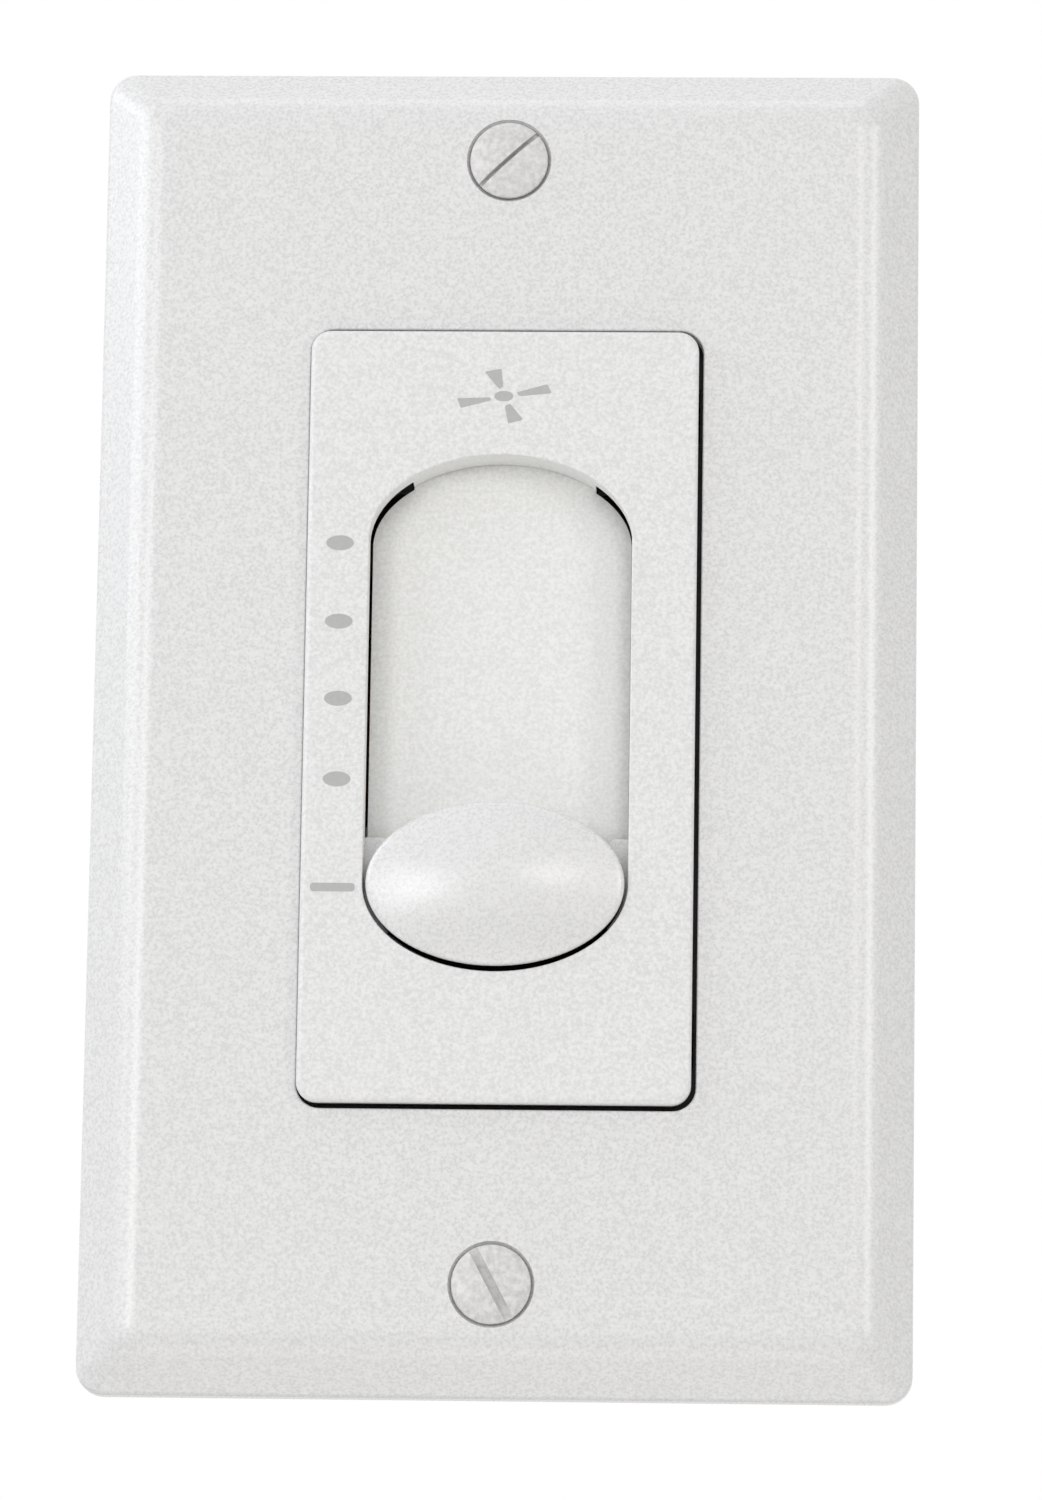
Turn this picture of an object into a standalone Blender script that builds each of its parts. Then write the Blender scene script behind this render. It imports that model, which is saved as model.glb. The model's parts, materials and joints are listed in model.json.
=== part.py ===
"""Slide fan-speed control for a single-gang wall box, with its decorator wallplate.

Metres, +Z up. The front faces -Y and the wall surface is the plane Y = 0, so the
case behind the mounting strap reaches into +Y. The origin is the middle of the
device on the wall surface. The slide knob is at rest at OFF, its lowest place.
"""

from math import cos, pi, radians, sin, sqrt

import bmesh
import bpy
from mathutils import Matrix, Vector

MM = 0.001

# Fits
SEAT_GAP = 0.3 * MM  # between pieces that rest on each other
JOIN_STEP = 0.1 * MM  # keeps the faces of joined shapes off one plane
RUN_GAP = 0.3 * MM  # between pieces that slide past each other

# Wallplate
PLATE_WIDTH = 69.85 * MM
PLATE_HEIGHT = 114.3 * MM
PLATE_THICKNESS = 5.8 * MM
PLATE_RIM = 2.0 * MM  # straight edge next to the wall
PLATE_BEVEL = 3.9 * MM  # width of the slanted border, seen from the front
PLATE_BREAK = 0.65 * MM  # rounding where the border meets the face
PLATE_CORNER = 2.3 * MM
PLATE_FACE_CORNER = 0.6 * MM
PLATE_WALL = 2.0 * MM
PLATE_BAND = 24.08 * MM  # plate's end to the bezel's end
PLATE_PLAY_X = 0.12 * MM  # how far the cover sits off the device's middle
PLATE_PLAY_Z = -0.10 * MM
OPENING_GAP_X = 0.26 * MM  # opening to bezel, each side
OPENING_GAP_Z = 0.30 * MM

# Cover screws, slotted oval heads
COVER_SCREW_INSET = 8.73 * MM  # from the plate's end
COVER_HEAD_RADIUS = 3.45 * MM
COVER_HEAD_DOME = 0.7 * MM
COVER_SHANK_RADIUS = 1.65 * MM
COVER_SCREW_LENGTH = 14.0 * MM
COVER_SEAT_GAP = 0.2 * MM
COVER_HOLE_GAP = 0.3 * MM
COVER_SLOT_WIDTH = 0.8 * MM
COVER_SLOT_DEPTH = 0.8 * MM
COVER_SLOT_ANGLE_TOP = radians(43)
COVER_SLOT_ANGLE_BOTTOM = radians(-62)

# Bezel
BEZEL_WIDTH = 32.86 * MM
BEZEL_CORNER = 1.7 * MM
BEZEL_EDGE = 0.5 * MM  # rounding of the front edge
BEZEL_WALL = 1.5 * MM
LIP_THICKNESS = 2.0 * MM  # front wall round the knob slot
SLOT_RISE = 0.2 * MM  # the slot sits this far above the bezel's middle
FLOOR_THICKNESS = 1.6 * MM
FLOOR_CROWN = 0.8 * MM  # how far the recess floor rolls down at its edge
FLOOR_CROWN_WIDTH = 3.2 * MM
FLOOR_SLIT = 0.3 * MM  # floor edge to slot edge, seen from the front
BRIDGE_HALF_WIDTH = 7.8 * MM  # where the floor joins the bezel above and below
HOOK_INSET = 6.07 * MM  # from the bezel's end
HOOK_WIDTH = 4.0 * MM
HOOK_THICKNESS = 1.2 * MM
HOOK_BARB = 0.8 * MM

# Slide knob
KNOB_TRAVEL = 29.5 * MM
KNOB_HALF_WIDTH = 10.85 * MM
KNOB_HALF_HEIGHT = 7.05 * MM
KNOB_SIDE_GAP = 0.2 * MM
KNOB_END_GAP = 0.35 * MM
KNOB_BASE = 0.8 * MM  # plate under the lip
KNOB_RIM = 0.4 * MM  # dome edge above the bezel face
KNOB_DOME = 2.3 * MM
KNOB_WALL = 1.5 * MM
CHEEK_HALF_HEIGHT = 4.3 * MM
CHEEK_DEPTH = 0.9 * MM  # how far a cheek reaches in from the knob's side
LEG_THICKNESS = 0.75 * MM
LEG_GAP = 0.1 * MM  # leg to the floor's edge
LEG_BARB = 0.6 * MM

# Mounting strap
STRAP_THICKNESS = 1.2 * MM
STRAP_JOGGLE = 0.3 * MM  # the ears step back to the wall by this
STRAP_BODY_HALF_WIDTH = 21.0 * MM
STRAP_MARGIN = 0.4 * MM  # strap past the ground screw's head
STRAP_SHOULDER = 2.5 * MM  # slope from body to neck
EAR_HALF_WIDTH = 15.0 * MM
EAR_MARGIN = 4.5 * MM  # ear past the cover screw
EAR_GAP = 0.3 * MM  # ear to the screw retainer
WINDOW_MARGIN = 0.8 * MM
BOX_SCREW_INSET = 6.75 * MM  # from the cover screw
BOX_SCREW_RADIUS = 1.65 * MM
BOX_SCREW_LENGTH = 25.0 * MM
BOX_HEAD_RADIUS = 3.4 * MM
BOX_HEAD_HEIGHT = 1.8 * MM
BOX_SLOT_PLAY = 1.0 * MM  # sideways room of the strap slot
RETAINER_HALF = 3.2 * MM
RETAINER_THICKNESS = 0.6 * MM
RETAINER_GRIP = 0.15 * MM
GROUND_GAP = 1.0 * MM  # ground screw to the screw retainer
GROUND_RISE = 1.0 * MM  # ground screw above the lower box screw
GROUND_HEAD_RADIUS = 3.1 * MM
GROUND_HEAD_HEIGHT = 2.0 * MM
GROUND_SHANK_RADIUS = 1.6 * MM

# Carriage behind the strap
WING_THICKNESS = 4.9 * MM
CARRIAGE_HALF_HEIGHT = 6.0 * MM
HUB_HALF_WIDTH = 9.0 * MM
HUB_HALF_HEIGHT = 5.5 * MM
HUB_STEP = 1.7 * MM
LEG_SOCKET_GAP = 0.25 * MM

# Springs and contacts
SPRING_THICKNESS = 0.3 * MM
SPRING_BOW_SHARE = 0.6  # of a leaf spring's length
SPRING_STEPS = 8
WIPER_HALF_WIDTH = 6.2 * MM
WIPER_HALF_LENGTH = 4.0 * MM
WIPER_BOW = 0.6 * MM
WIPER_FORK = 2.2 * MM
CONTACT_X = 4.5 * MM
CONTACT_HALF_WIDTH = 1.6 * MM
CONTACT_THICKNESS = 0.6 * MM
CONTACT_HALF_LENGTH = 2.4 * MM
CONTACT_STAKE_RADIUS = 0.6 * MM
SPEED_PITCH = 6.76 * MM
SPEED_COUNT = 4
DETENT_GAP = 1.1 * MM  # to the knob leg on one side and the case rail on the other
DETENT_STRIP_THICKNESS = 1.3 * MM
DETENT_NOTCH_DEPTH = 0.6 * MM
DETENT_NOTCH_HALF = 1.0 * MM
DETENT_SPRING_HALF_LENGTH = 5.0 * MM

# Circuit board and what it carries
BOARD_THICKNESS = 1.6 * MM
BOARD_GAP = 0.4 * MM
PIN_RADIUS = 0.4 * MM
PIN_PROUD = 0.8 * MM
PIN_HOLE_GAP = 0.3 * MM
PIN_CONTACT_GAP = 0.65 * MM  # pin to the nearest contact
CAPACITOR_LENGTH = 32.0 * MM
CAPACITOR_HEIGHT = 16.0 * MM
CAPACITOR_SMALL_WIDTH = 11.5 * MM
CAPACITOR_SPACING = 0.8 * MM
CAPACITOR_ROUND = 0.8 * MM
CAPACITOR_Z = -4.0 * MM
CAPACITOR_PIN_INSET = 2.3 * MM
RESISTOR_RADIUS = 1.6 * MM
RESISTOR_LENGTH = 9.0 * MM
RESISTOR_WAIST = 1.35 * MM
RESISTOR_CAP = 1.8 * MM
RESISTOR_LEAD = 2.0 * MM
RESISTOR_SPACING = 1.0 * MM
RESISTOR_X = -6.0 * MM
BOARD_SCREW_RADIUS = 1.2 * MM
BOARD_SCREW_HEAD_RADIUS = 2.3 * MM
BOARD_SCREW_HEAD_HEIGHT = 1.4 * MM
BOARD_SCREW_LENGTH = 8.0 * MM
BOARD_POST_RADIUS = 2.6 * MM
BOARD_POST_INSET = 4.0 * MM
BOARD_SCREW_GAP = 0.5 * MM  # screw head to the detent strip

# Rear case
HOUSING_WIDTH = 43.0 * MM
HOUSING_TUCK = 0.07 * MM  # the case ends this far inside the bezel's end
HOUSING_WALL = 2.0 * MM
HOUSING_CORNER = 2.0 * MM
HOUSING_EDGE = 1.2 * MM
HOUSING_SPARE = 1.1 * MM  # room behind the capacitors
RAIL_WIDTH = 2.0 * MM
RAIL_THICKNESS = 2.0 * MM
LUG_INSET = 2.43 * MM  # from the bezel's side
LUG_RADIUS = 3.2 * MM
LUG_THICKNESS = 8.0 * MM
LUG_SCREW_RADIUS = 1.4 * MM
LUG_SCREW_LENGTH = 10.0 * MM
LUG_HEAD_RADIUS = 2.7 * MM
LUG_HEAD_HEIGHT = 1.6 * MM
SCREW_HOLE_GAP = 0.25 * MM

# Wire terminals on the right side of the case
TERMINAL_Z = 12.0 * MM
NICHE_HALF_HEIGHT = 6.0 * MM
NICHE_DEPTH = 4.5 * MM
NICHE_FRONT = 2.4 * MM  # wall between the board and a niche
TERMINAL_HALF = 4.5 * MM
TERMINAL_THICKNESS = 1.0 * MM
TERMINAL_TAIL_HALF = 1.5 * MM
TERMINAL_SCREW_RADIUS = 1.7 * MM
TERMINAL_HEAD_RADIUS = 3.7 * MM
TERMINAL_HEAD_HEIGHT = 2.0 * MM

WELD = 0.001 * MM  # points nearer than this are one point
ROUND_SIDES = 24
SMALL_SIDES = 12
CORNER_STEPS = 5
KNOB_SIDES = 48

# Planes along Y, front to back
EAR_FRONT = -STRAP_THICKNESS
STRAP_BACK = -STRAP_JOGGLE
STRAP_FRONT = STRAP_BACK - STRAP_THICKNESS
PLATE_FACE = -PLATE_THICKNESS
PLATE_ROOF = PLATE_FACE + PLATE_WALL
BEZEL_BACK = STRAP_FRONT - SEAT_GAP
RECESS_DEPTH = LIP_THICKNESS + KNOB_BASE + 2 * RUN_GAP
BEZEL_FACE = BEZEL_BACK - FLOOR_THICKNESS - RECESS_DEPTH
LIP_BACK = BEZEL_FACE + LIP_THICKNESS
FLOOR_TOP = BEZEL_FACE + RECESS_DEPTH
FLOOR_EDGE = FLOOR_TOP + FLOOR_CROWN
CHEEK_FRONT = LIP_BACK + RUN_GAP
KNOB_UNDER = FLOOR_TOP - RUN_GAP
KNOB_EDGE = BEZEL_FACE - KNOB_RIM
CARRIAGE_FRONT = STRAP_BACK + RUN_GAP
WING_BACK = CARRIAGE_FRONT + WING_THICKNESS
RAIL_FRONT = WING_BACK + RUN_GAP
HUB_BACK = WING_BACK + HUB_STEP
WIPER_FRONT = HUB_BACK + SEAT_GAP
WIPER_TIP = WIPER_FRONT + SPRING_THICKNESS + WIPER_BOW
CONTACT_FRONT = WIPER_TIP + RUN_GAP
BOARD_FRONT = CONTACT_FRONT + CONTACT_THICKNESS + SEAT_GAP
BOARD_BACK = BOARD_FRONT + BOARD_THICKNESS
STRIP_BACK = BOARD_FRONT - SEAT_GAP
STRIP_FRONT = STRIP_BACK - DETENT_STRIP_THICKNESS
DETENT_FRONT = WING_BACK + SEAT_GAP
DETENT_TIP = STRIP_FRONT - RUN_GAP
COMPONENT_FRONT = BOARD_BACK + SEAT_GAP
HOUSING_FRONT = STRAP_BACK + SEAT_GAP
HOUSING_FLOOR = COMPONENT_FRONT + CAPACITOR_HEIGHT + HOUSING_SPARE
HOUSING_BACK = HOUSING_FLOOR + HOUSING_WALL
NICHE_Y = COMPONENT_FRONT + NICHE_FRONT

# Places across the front
BEZEL_HEIGHT = PLATE_HEIGHT - 2 * PLATE_BAND
HOUSING_HEIGHT = BEZEL_HEIGHT - 2 * HOUSING_TUCK
KNOB_REST_Z = SLOT_RISE - KNOB_TRAVEL / 2
SLOT_HALF_WIDTH = KNOB_HALF_WIDTH + KNOB_SIDE_GAP
SLOT_END = KNOB_HALF_HEIGHT + KNOB_END_GAP
FLOOR_HALF_WIDTH = SLOT_HALF_WIDTH - FLOOR_SLIT
CHEEK_INNER = KNOB_HALF_WIDTH - CHEEK_DEPTH
LEG_INNER = FLOOR_HALF_WIDTH + LEG_GAP
LEG_OUTER = LEG_INNER + LEG_THICKNESS
CHANNEL_OUTER = LEG_OUTER + RUN_GAP
SLIDE_REACH = KNOB_TRAVEL / 2 + CHEEK_HALF_HEIGHT
OPENING_HALF_WIDTH = BEZEL_WIDTH / 2 + OPENING_GAP_X
OPENING_HALF_HEIGHT = BEZEL_HEIGHT / 2 + OPENING_GAP_Z
COVER_SCREW_Z = PLATE_HEIGHT / 2 - COVER_SCREW_INSET
BOX_SCREW_Z = COVER_SCREW_Z - BOX_SCREW_INSET
EAR_INNER = BOX_SCREW_Z + RETAINER_HALF + EAR_GAP
NECK_END = EAR_INNER + STRAP_THICKNESS  # the neck laps over the ear
EAR_END = COVER_SCREW_Z + EAR_MARGIN
GROUND_X = RETAINER_HALF + GROUND_GAP + GROUND_HEAD_RADIUS
GROUND_Z = GROUND_RISE - BOX_SCREW_Z
STRAP_NECK_HALF_WIDTH = GROUND_X + GROUND_HEAD_RADIUS + STRAP_MARGIN
HOOK_Z = BEZEL_HEIGHT / 2 - HOOK_INSET
HOOK_OUTER = BEZEL_WIDTH / 2 - SEAT_GAP
HOOK_INNER = HOOK_OUTER - HOOK_THICKNESS
INNER_HALF_WIDTH = HOUSING_WIDTH / 2 - HOUSING_WALL
INNER_HALF_HEIGHT = HOUSING_HEIGHT / 2 - HOUSING_WALL
LUG_X = BEZEL_WIDTH / 2 - LUG_INSET
LUG_Z = BEZEL_HEIGHT / 2 + LUG_HEAD_RADIUS + SEAT_GAP
STRAP_BODY_HALF_HEIGHT = LUG_Z + LUG_RADIUS + LUG_SCREW_RADIUS / 2
DETENT_INNER = LEG_OUTER + LEG_BARB + DETENT_GAP
DETENT_OUTER = INNER_HALF_WIDTH - RAIL_WIDTH - DETENT_GAP
DETENT_X = (DETENT_INNER + DETENT_OUTER) / 2
BOARD_HALF_WIDTH = INNER_HALF_WIDTH - BOARD_GAP
BOARD_HALF_HEIGHT = INNER_HALF_HEIGHT - BOARD_GAP
POST_LEFT = BOARD_POST_INSET - INNER_HALF_WIDTH
POST_RIGHT = DETENT_INNER - BOARD_SCREW_GAP - BOARD_SCREW_HEAD_RADIUS
POST_Z = INNER_HALF_HEIGHT - BOARD_POST_INSET
NICHE_FLOOR = HOUSING_WIDTH / 2 - NICHE_DEPTH
NICHE_INNER = NICHE_FLOOR - HOUSING_WALL
TERMINAL_X = NICHE_FLOOR + SEAT_GAP
TERMINAL_Y = NICHE_Y + SEAT_GAP + TERMINAL_HALF
TOP_SPEED_Z = SLOT_RISE + KNOB_TRAVEL / 2
SPEED_Z = [TOP_SPEED_Z - SPEED_PITCH * i for i in range(SPEED_COUNT)]
CAPACITOR_TOP = CAPACITOR_Z + CAPACITOR_LENGTH / 2
RESISTOR_Z = [
    CAPACITOR_TOP + RESISTOR_SPACING + RESISTOR_RADIUS + i * (2 * RESISTOR_RADIUS + RESISTOR_SPACING)
    for i in range(2)
]
RESISTOR_Y = COMPONENT_FRONT + RESISTOR_RADIUS
SMALL_X = CONTACT_X - CONTACT_HALF_WIDTH - PIN_RADIUS - PIN_CONTACT_GAP
LARGE_RIGHT = SMALL_X - CAPACITOR_SMALL_WIDTH / 2 - CAPACITOR_SPACING
LARGE_LEFT = CAPACITOR_SPACING - INNER_HALF_WIDTH
LARGE_X = (LARGE_LEFT + LARGE_RIGHT) / 2


# Scene, collections and materials


def clear_scene():
    for old in list(bpy.data.objects):
        bpy.data.objects.remove(old, do_unlink=True)


def new_collection(name):
    made = bpy.data.collections.new(name)
    bpy.context.scene.collection.children.link(made)
    return made


def material(name, colour, roughness, metallic=0.0):
    """A Principled material of one colour, given as linear red, green and blue."""
    made = bpy.data.materials.new(name)
    made.use_nodes = True
    shader = made.node_tree.nodes["Principled BSDF"]
    shader.inputs["Base Color"].default_value = (*colour, 1.0)
    shader.inputs["Roughness"].default_value = roughness
    shader.inputs["Metallic"].default_value = metallic
    return made


clear_scene()
PARTS = new_collection("slide_fan_control")
CUTTERS = new_collection("cutters")
CUTTERS.hide_render = True

WHITE_PLASTIC = material("white_plastic", (0.76, 0.76, 0.75), 0.4)
WHITE_PAINT = material("white_painted_steel", (0.72, 0.72, 0.70), 0.35)
STEEL = material("zinc_plated_steel", (0.55, 0.56, 0.57), 0.35, 1.0)
BRASS = material("brass", (0.60, 0.42, 0.16), 0.35, 1.0)
BLACK_PLASTIC = material("black_phenolic", (0.02, 0.02, 0.021), 0.5)
NYLON = material("natural_nylon", (0.60, 0.57, 0.48), 0.5)
GREEN_PAINT = material("green_screw", (0.02, 0.20, 0.06), 0.35, 0.6)
BOARD_RESIN = material("board_resin", (0.25, 0.16, 0.05), 0.6)
CAPACITOR_CASE = material("capacitor_case", (0.55, 0.38, 0.06), 0.5)
RESISTOR_COAT = material("resistor_coat", (0.42, 0.30, 0.18), 0.5)
FIBRE = material("fibre_board", (0.30, 0.20, 0.12), 0.8)


# Shapes


def mesh_object(name, bm):
    """The finished bmesh as an object among the cutters, until a part claims it."""
    bmesh.ops.recalc_face_normals(bm, faces=bm.faces)
    mesh = bpy.data.meshes.new(name)
    bm.to_mesh(mesh)
    bm.free()
    made = bpy.data.objects.new(name, mesh)
    made.hide_render = True
    made.display_type = "WIRE"
    CUTTERS.objects.link(made)
    return made


def claim(made, finish, parent=None):
    """Moves an object from the cutters to the parts and gives it its material."""
    CUTTERS.objects.unlink(made)
    PARTS.objects.link(made)
    made.hide_render = False
    made.display_type = "TEXTURED"
    made.data.materials.clear()
    made.data.materials.append(finish)
    made.data.shade_smooth()
    made.data.set_sharp_from_angle(angle=radians(35))
    made.parent = parent
    return made


def box(name, x, y, z):
    """A block between two planes on each axis."""
    size = Matrix.Diagonal((x[1] - x[0], y[1] - y[0], z[1] - z[0], 1))
    middle = Matrix.Translation(((x[0] + x[1]) / 2, (y[0] + y[1]) / 2, (z[0] + z[1]) / 2))
    bm = bmesh.new()
    bmesh.ops.create_cube(bm, size=1, matrix=middle @ size)
    return mesh_object(name, bm)


def rod(name, radius, place, y, sides=ROUND_SIDES, back_radius=None):
    """A cylinder or cone along Y, at an (x, z) place, between two depths."""
    turn = Matrix.Rotation(-pi / 2, 4, "X")
    middle = Matrix.Translation((place[0], (y[0] + y[1]) / 2, place[1]))
    bm = bmesh.new()
    bmesh.ops.create_cone(
        bm,
        cap_ends=True,
        segments=sides,
        radius1=radius,
        radius2=radius if back_radius is None else back_radius,
        depth=y[1] - y[0],
        matrix=middle @ turn,
    )
    return mesh_object(name, bm)


def loft(name, rings):
    """A closed skin through rings of points that have the same count."""
    bm = bmesh.new()
    loops = [[bm.verts.new(point) for point in ring] for ring in rings]
    for one, two in zip(loops, loops[1:]):
        for i in range(len(one)):
            j = (i + 1) % len(one)
            bm.faces.new((one[i], one[j], two[j], two[i]))
    bm.faces.new(list(reversed(loops[0])))
    bm.faces.new(loops[-1])
    return mesh_object(name, bm)


def sheet(name, outline, y, holes=()):
    """A flat plate with an outline of (x, z) points, between two depths, and holes through it."""
    curve = bpy.data.curves.new(name, "CURVE")
    curve.dimensions = "2D"
    curve.fill_mode = "BOTH"
    curve.extrude = (y[1] - y[0]) / 2
    spline = curve.splines.new("POLY")
    spline.points.add(len(outline) - 1)
    for point, (x, z) in zip(spline.points, outline):
        point.co = (x, z, 0, 1)
    spline.use_cyclic_u = True
    guide = bpy.data.objects.new(name + "_outline", curve)
    guide.location = (0, (y[0] + y[1]) / 2, 0)
    guide.rotation_euler = (pi / 2, 0, 0)
    plate = curve_to_mesh(name, guide)
    past = (2 * y[0] - y[1], 2 * y[1] - y[0])
    for number, hole in enumerate(holes, 1):
        cut(plate, sheet("%s_hole_%d" % (name, number), hole, past))
    return plate


def curve_to_mesh(name, guide):
    """The evaluated curve as a welded mesh with its place applied. The curve is removed."""
    CUTTERS.objects.link(guide)
    bpy.context.view_layer.update()
    graph = bpy.context.evaluated_depsgraph_get()
    mesh = bpy.data.meshes.new_from_object(guide.evaluated_get(graph))
    bm = bmesh.new()
    bm.from_mesh(mesh)
    bm.transform(guide.matrix_world)
    bmesh.ops.remove_doubles(bm, verts=bm.verts, dist=WELD)
    bmesh.ops.dissolve_limit(bm, angle_limit=radians(1), verts=bm.verts, edges=bm.edges)
    bpy.data.objects.remove(guide, do_unlink=True)
    bpy.data.meshes.remove(mesh)
    return mesh_object(name, bm)


def turned(name, profile, location, rotation):
    """A turned piece: (radius, height) points from the top down, spun about local Z."""
    bm = bmesh.new()
    points = [bm.verts.new((radius, 0, height)) for radius, height in profile]
    for one, two in zip(points, points[1:]):
        bm.edges.new((one, two))
    made = mesh_object(name, bm)
    spin = made.modifiers.new("spin", "SCREW")
    spin.axis = "Z"
    spin.steps = ROUND_SIDES
    spin.render_steps = ROUND_SIDES
    spin.use_merge_vertices = True
    spin.merge_threshold = WELD
    made.location = location
    made.rotation_euler = rotation
    return made


def boolean(made, other, operation):
    step = made.modifiers.new(operation.lower() + "_" + other.name, "BOOLEAN")
    step.operation = operation
    step.solver = "EXACT"
    step.object = other


def cut(made, *cutters):
    for cutter in cutters:
        boolean(made, cutter, "DIFFERENCE")


def join(made, *additions):
    for addition in additions:
        boolean(made, addition, "UNION")


# Outlines, as lists of (x, z) points


def rounded_rectangle(half_width, half_height, radius, middle=(0, 0)):
    points = []
    for turn, (sx, sz) in enumerate(((1, 1), (-1, 1), (-1, -1), (1, -1))):
        for step in range(CORNER_STEPS + 1):
            angle = pi / 2 * (turn + step / CORNER_STEPS)
            x = sx * (half_width - radius) + radius * cos(angle)
            z = sz * (half_height - radius) + radius * sin(angle)
            points.append((middle[0] + x, middle[1] + z))
    return points


def rectangle(x, z):
    return [(x[0], z[0]), (x[1], z[0]), (x[1], z[1]), (x[0], z[1])]


def circle(radius, middle, sides=SMALL_SIDES):
    turns = [2 * pi * i / sides for i in range(sides)]
    return [(middle[0] + radius * cos(a), middle[1] + radius * sin(a)) for a in turns]


def ellipse(half_width, half_height, sides=KNOB_SIDES):
    turns = [2 * pi * i / sides for i in range(sides)]
    return [(half_width * cos(a), half_height * sin(a)) for a in turns]


def oblong(half_run, radius, middle, sides=SMALL_SIDES):
    """A slot outline along X with round ends."""
    points = []
    for end, side in enumerate((1, -1)):
        for step in range(sides // 2 + 1):
            angle = pi * (end - 0.5) + pi * step / (sides // 2)
            x = middle[0] + side * half_run + radius * cos(angle)
            points.append((x, middle[1] + radius * sin(angle)))
    return points


def slot_outline(inset=0.0, longer=0.0):
    """The knob slot: straight sides and half-ellipse ends, drawn in by an inset.

    The sides may be longer than the travel, with flatter ends.
    """
    points = []
    steps = KNOB_SIDES // 2
    for end, side in enumerate((1, -1)):
        for step in range(steps + 1):
            angle = pi * (end + step / steps)
            x = (SLOT_HALF_WIDTH - inset) * cos(angle)
            middle = SLOT_RISE + side * (KNOB_TRAVEL / 2 + longer)
            z = middle + (SLOT_END - inset - longer) * sin(angle)
            points.append((x, z))
    return points


def at_depth(outline, y):
    return [Vector((x, y, z)) for x, z in outline]


def arc_steps(count):
    return [pi / 2 * i / count for i in range(count + 1)]


# Front pieces


def make_wallplate():
    """Cover plate: straight rim, slanted border, rounded break, flat face, hollow back."""
    half_width = PLATE_WIDTH / 2
    half_height = PLATE_HEIGHT / 2
    slope = (PLATE_THICKNESS - PLATE_RIM) / PLATE_BEVEL
    slant = sqrt(1 + slope**2)

    def ring(inset, y, radius):
        return at_depth(rounded_rectangle(half_width - inset, half_height - inset, radius), y)

    start = PLATE_BEVEL - PLATE_BREAK / slant
    middle = PLATE_BEVEL + PLATE_BREAK * (1 - 1 / slant) / 4
    plate = loft(
        "wallplate",
        [
            ring(0, 0, PLATE_CORNER),
            ring(0, -PLATE_RIM, PLATE_CORNER),
            ring(start, -PLATE_RIM - slope * start, PLATE_FACE_CORNER),
            ring(middle, PLATE_FACE + PLATE_BREAK * slope / slant / 4, PLATE_FACE_CORNER),
            ring(PLATE_BEVEL + PLATE_BREAK, PLATE_FACE, PLATE_FACE_CORNER),
        ],
    )
    inner_rim = PLATE_RIM + PLATE_WALL * (slope - slant)
    inner_inset = (PLATE_THICKNESS - PLATE_WALL - PLATE_RIM + PLATE_WALL * slant) / slope
    hollow = loft(
        "wallplate_hollow",
        [
            ring(PLATE_WALL, PLATE_RIM, PLATE_FACE_CORNER),
            ring(PLATE_WALL, -inner_rim, PLATE_FACE_CORNER),
            ring(inner_inset, PLATE_ROOF, PLATE_FACE_CORNER),
        ],
    )
    opening_corner = BEZEL_CORNER + OPENING_GAP_X
    opening_outline = rounded_rectangle(OPENING_HALF_WIDTH, OPENING_HALF_HEIGHT, opening_corner)
    opening = sheet("wallplate_opening", opening_outline, (2 * PLATE_FACE, PLATE_RIM))
    cut(plate, hollow, opening)
    for name, z in (("top", COVER_SCREW_Z), ("bottom", -COVER_SCREW_Z)):
        spread = COVER_SEAT_GAP * sqrt(2)
        front = COVER_HEAD_RADIUS + spread + PLATE_WALL
        hole_radius = COVER_SHANK_RADIUS + COVER_HOLE_GAP
        depth = front - hole_radius
        sink = rod(
            "wallplate_sink_" + name,
            front,
            (0, z),
            (PLATE_FACE - PLATE_WALL, PLATE_FACE - PLATE_WALL + depth),
            back_radius=hole_radius,
        )
        hole = rod("wallplate_hole_" + name, hole_radius, (0, z), (PLATE_FACE - PLATE_WALL, PLATE_RIM))
        cut(plate, sink, hole)
    for cutter in [step.object for step in plate.modifiers]:
        cutter.parent = plate
    plate.location = (PLATE_PLAY_X, 0, PLATE_PLAY_Z)
    claim(plate, WHITE_PLASTIC)


def make_cover_screw(name, z, slot_angle):
    """Oval countersunk head, domed and slotted, on a plain shank."""
    cone = COVER_HEAD_RADIUS - COVER_SHANK_RADIUS
    profile = [(0.0, COVER_HEAD_DOME)]
    for step in arc_steps(4)[1:]:
        profile.append((COVER_HEAD_RADIUS * sin(step), COVER_HEAD_DOME * cos(step)))
    profile += [
        (COVER_SHANK_RADIUS, -cone),
        (COVER_SHANK_RADIUS, -COVER_SCREW_LENGTH),
        (0.0, -COVER_SCREW_LENGTH),
    ]
    screw = turned(name, profile, (0, PLATE_FACE, z), (pi / 2, 0, 0))
    slot = box(
        name + "_slot",
        (-2 * COVER_HEAD_RADIUS, 2 * COVER_HEAD_RADIUS),
        (-3 * COVER_HEAD_DOME, COVER_SLOT_DEPTH - COVER_HEAD_DOME),
        (-COVER_SLOT_WIDTH / 2, COVER_SLOT_WIDTH / 2),
    )
    slot.location = (0, PLATE_FACE, z)
    slot.rotation_euler = (0, -slot_angle, 0)
    cut(screw, slot)
    claim(screw, WHITE_PAINT)


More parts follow.
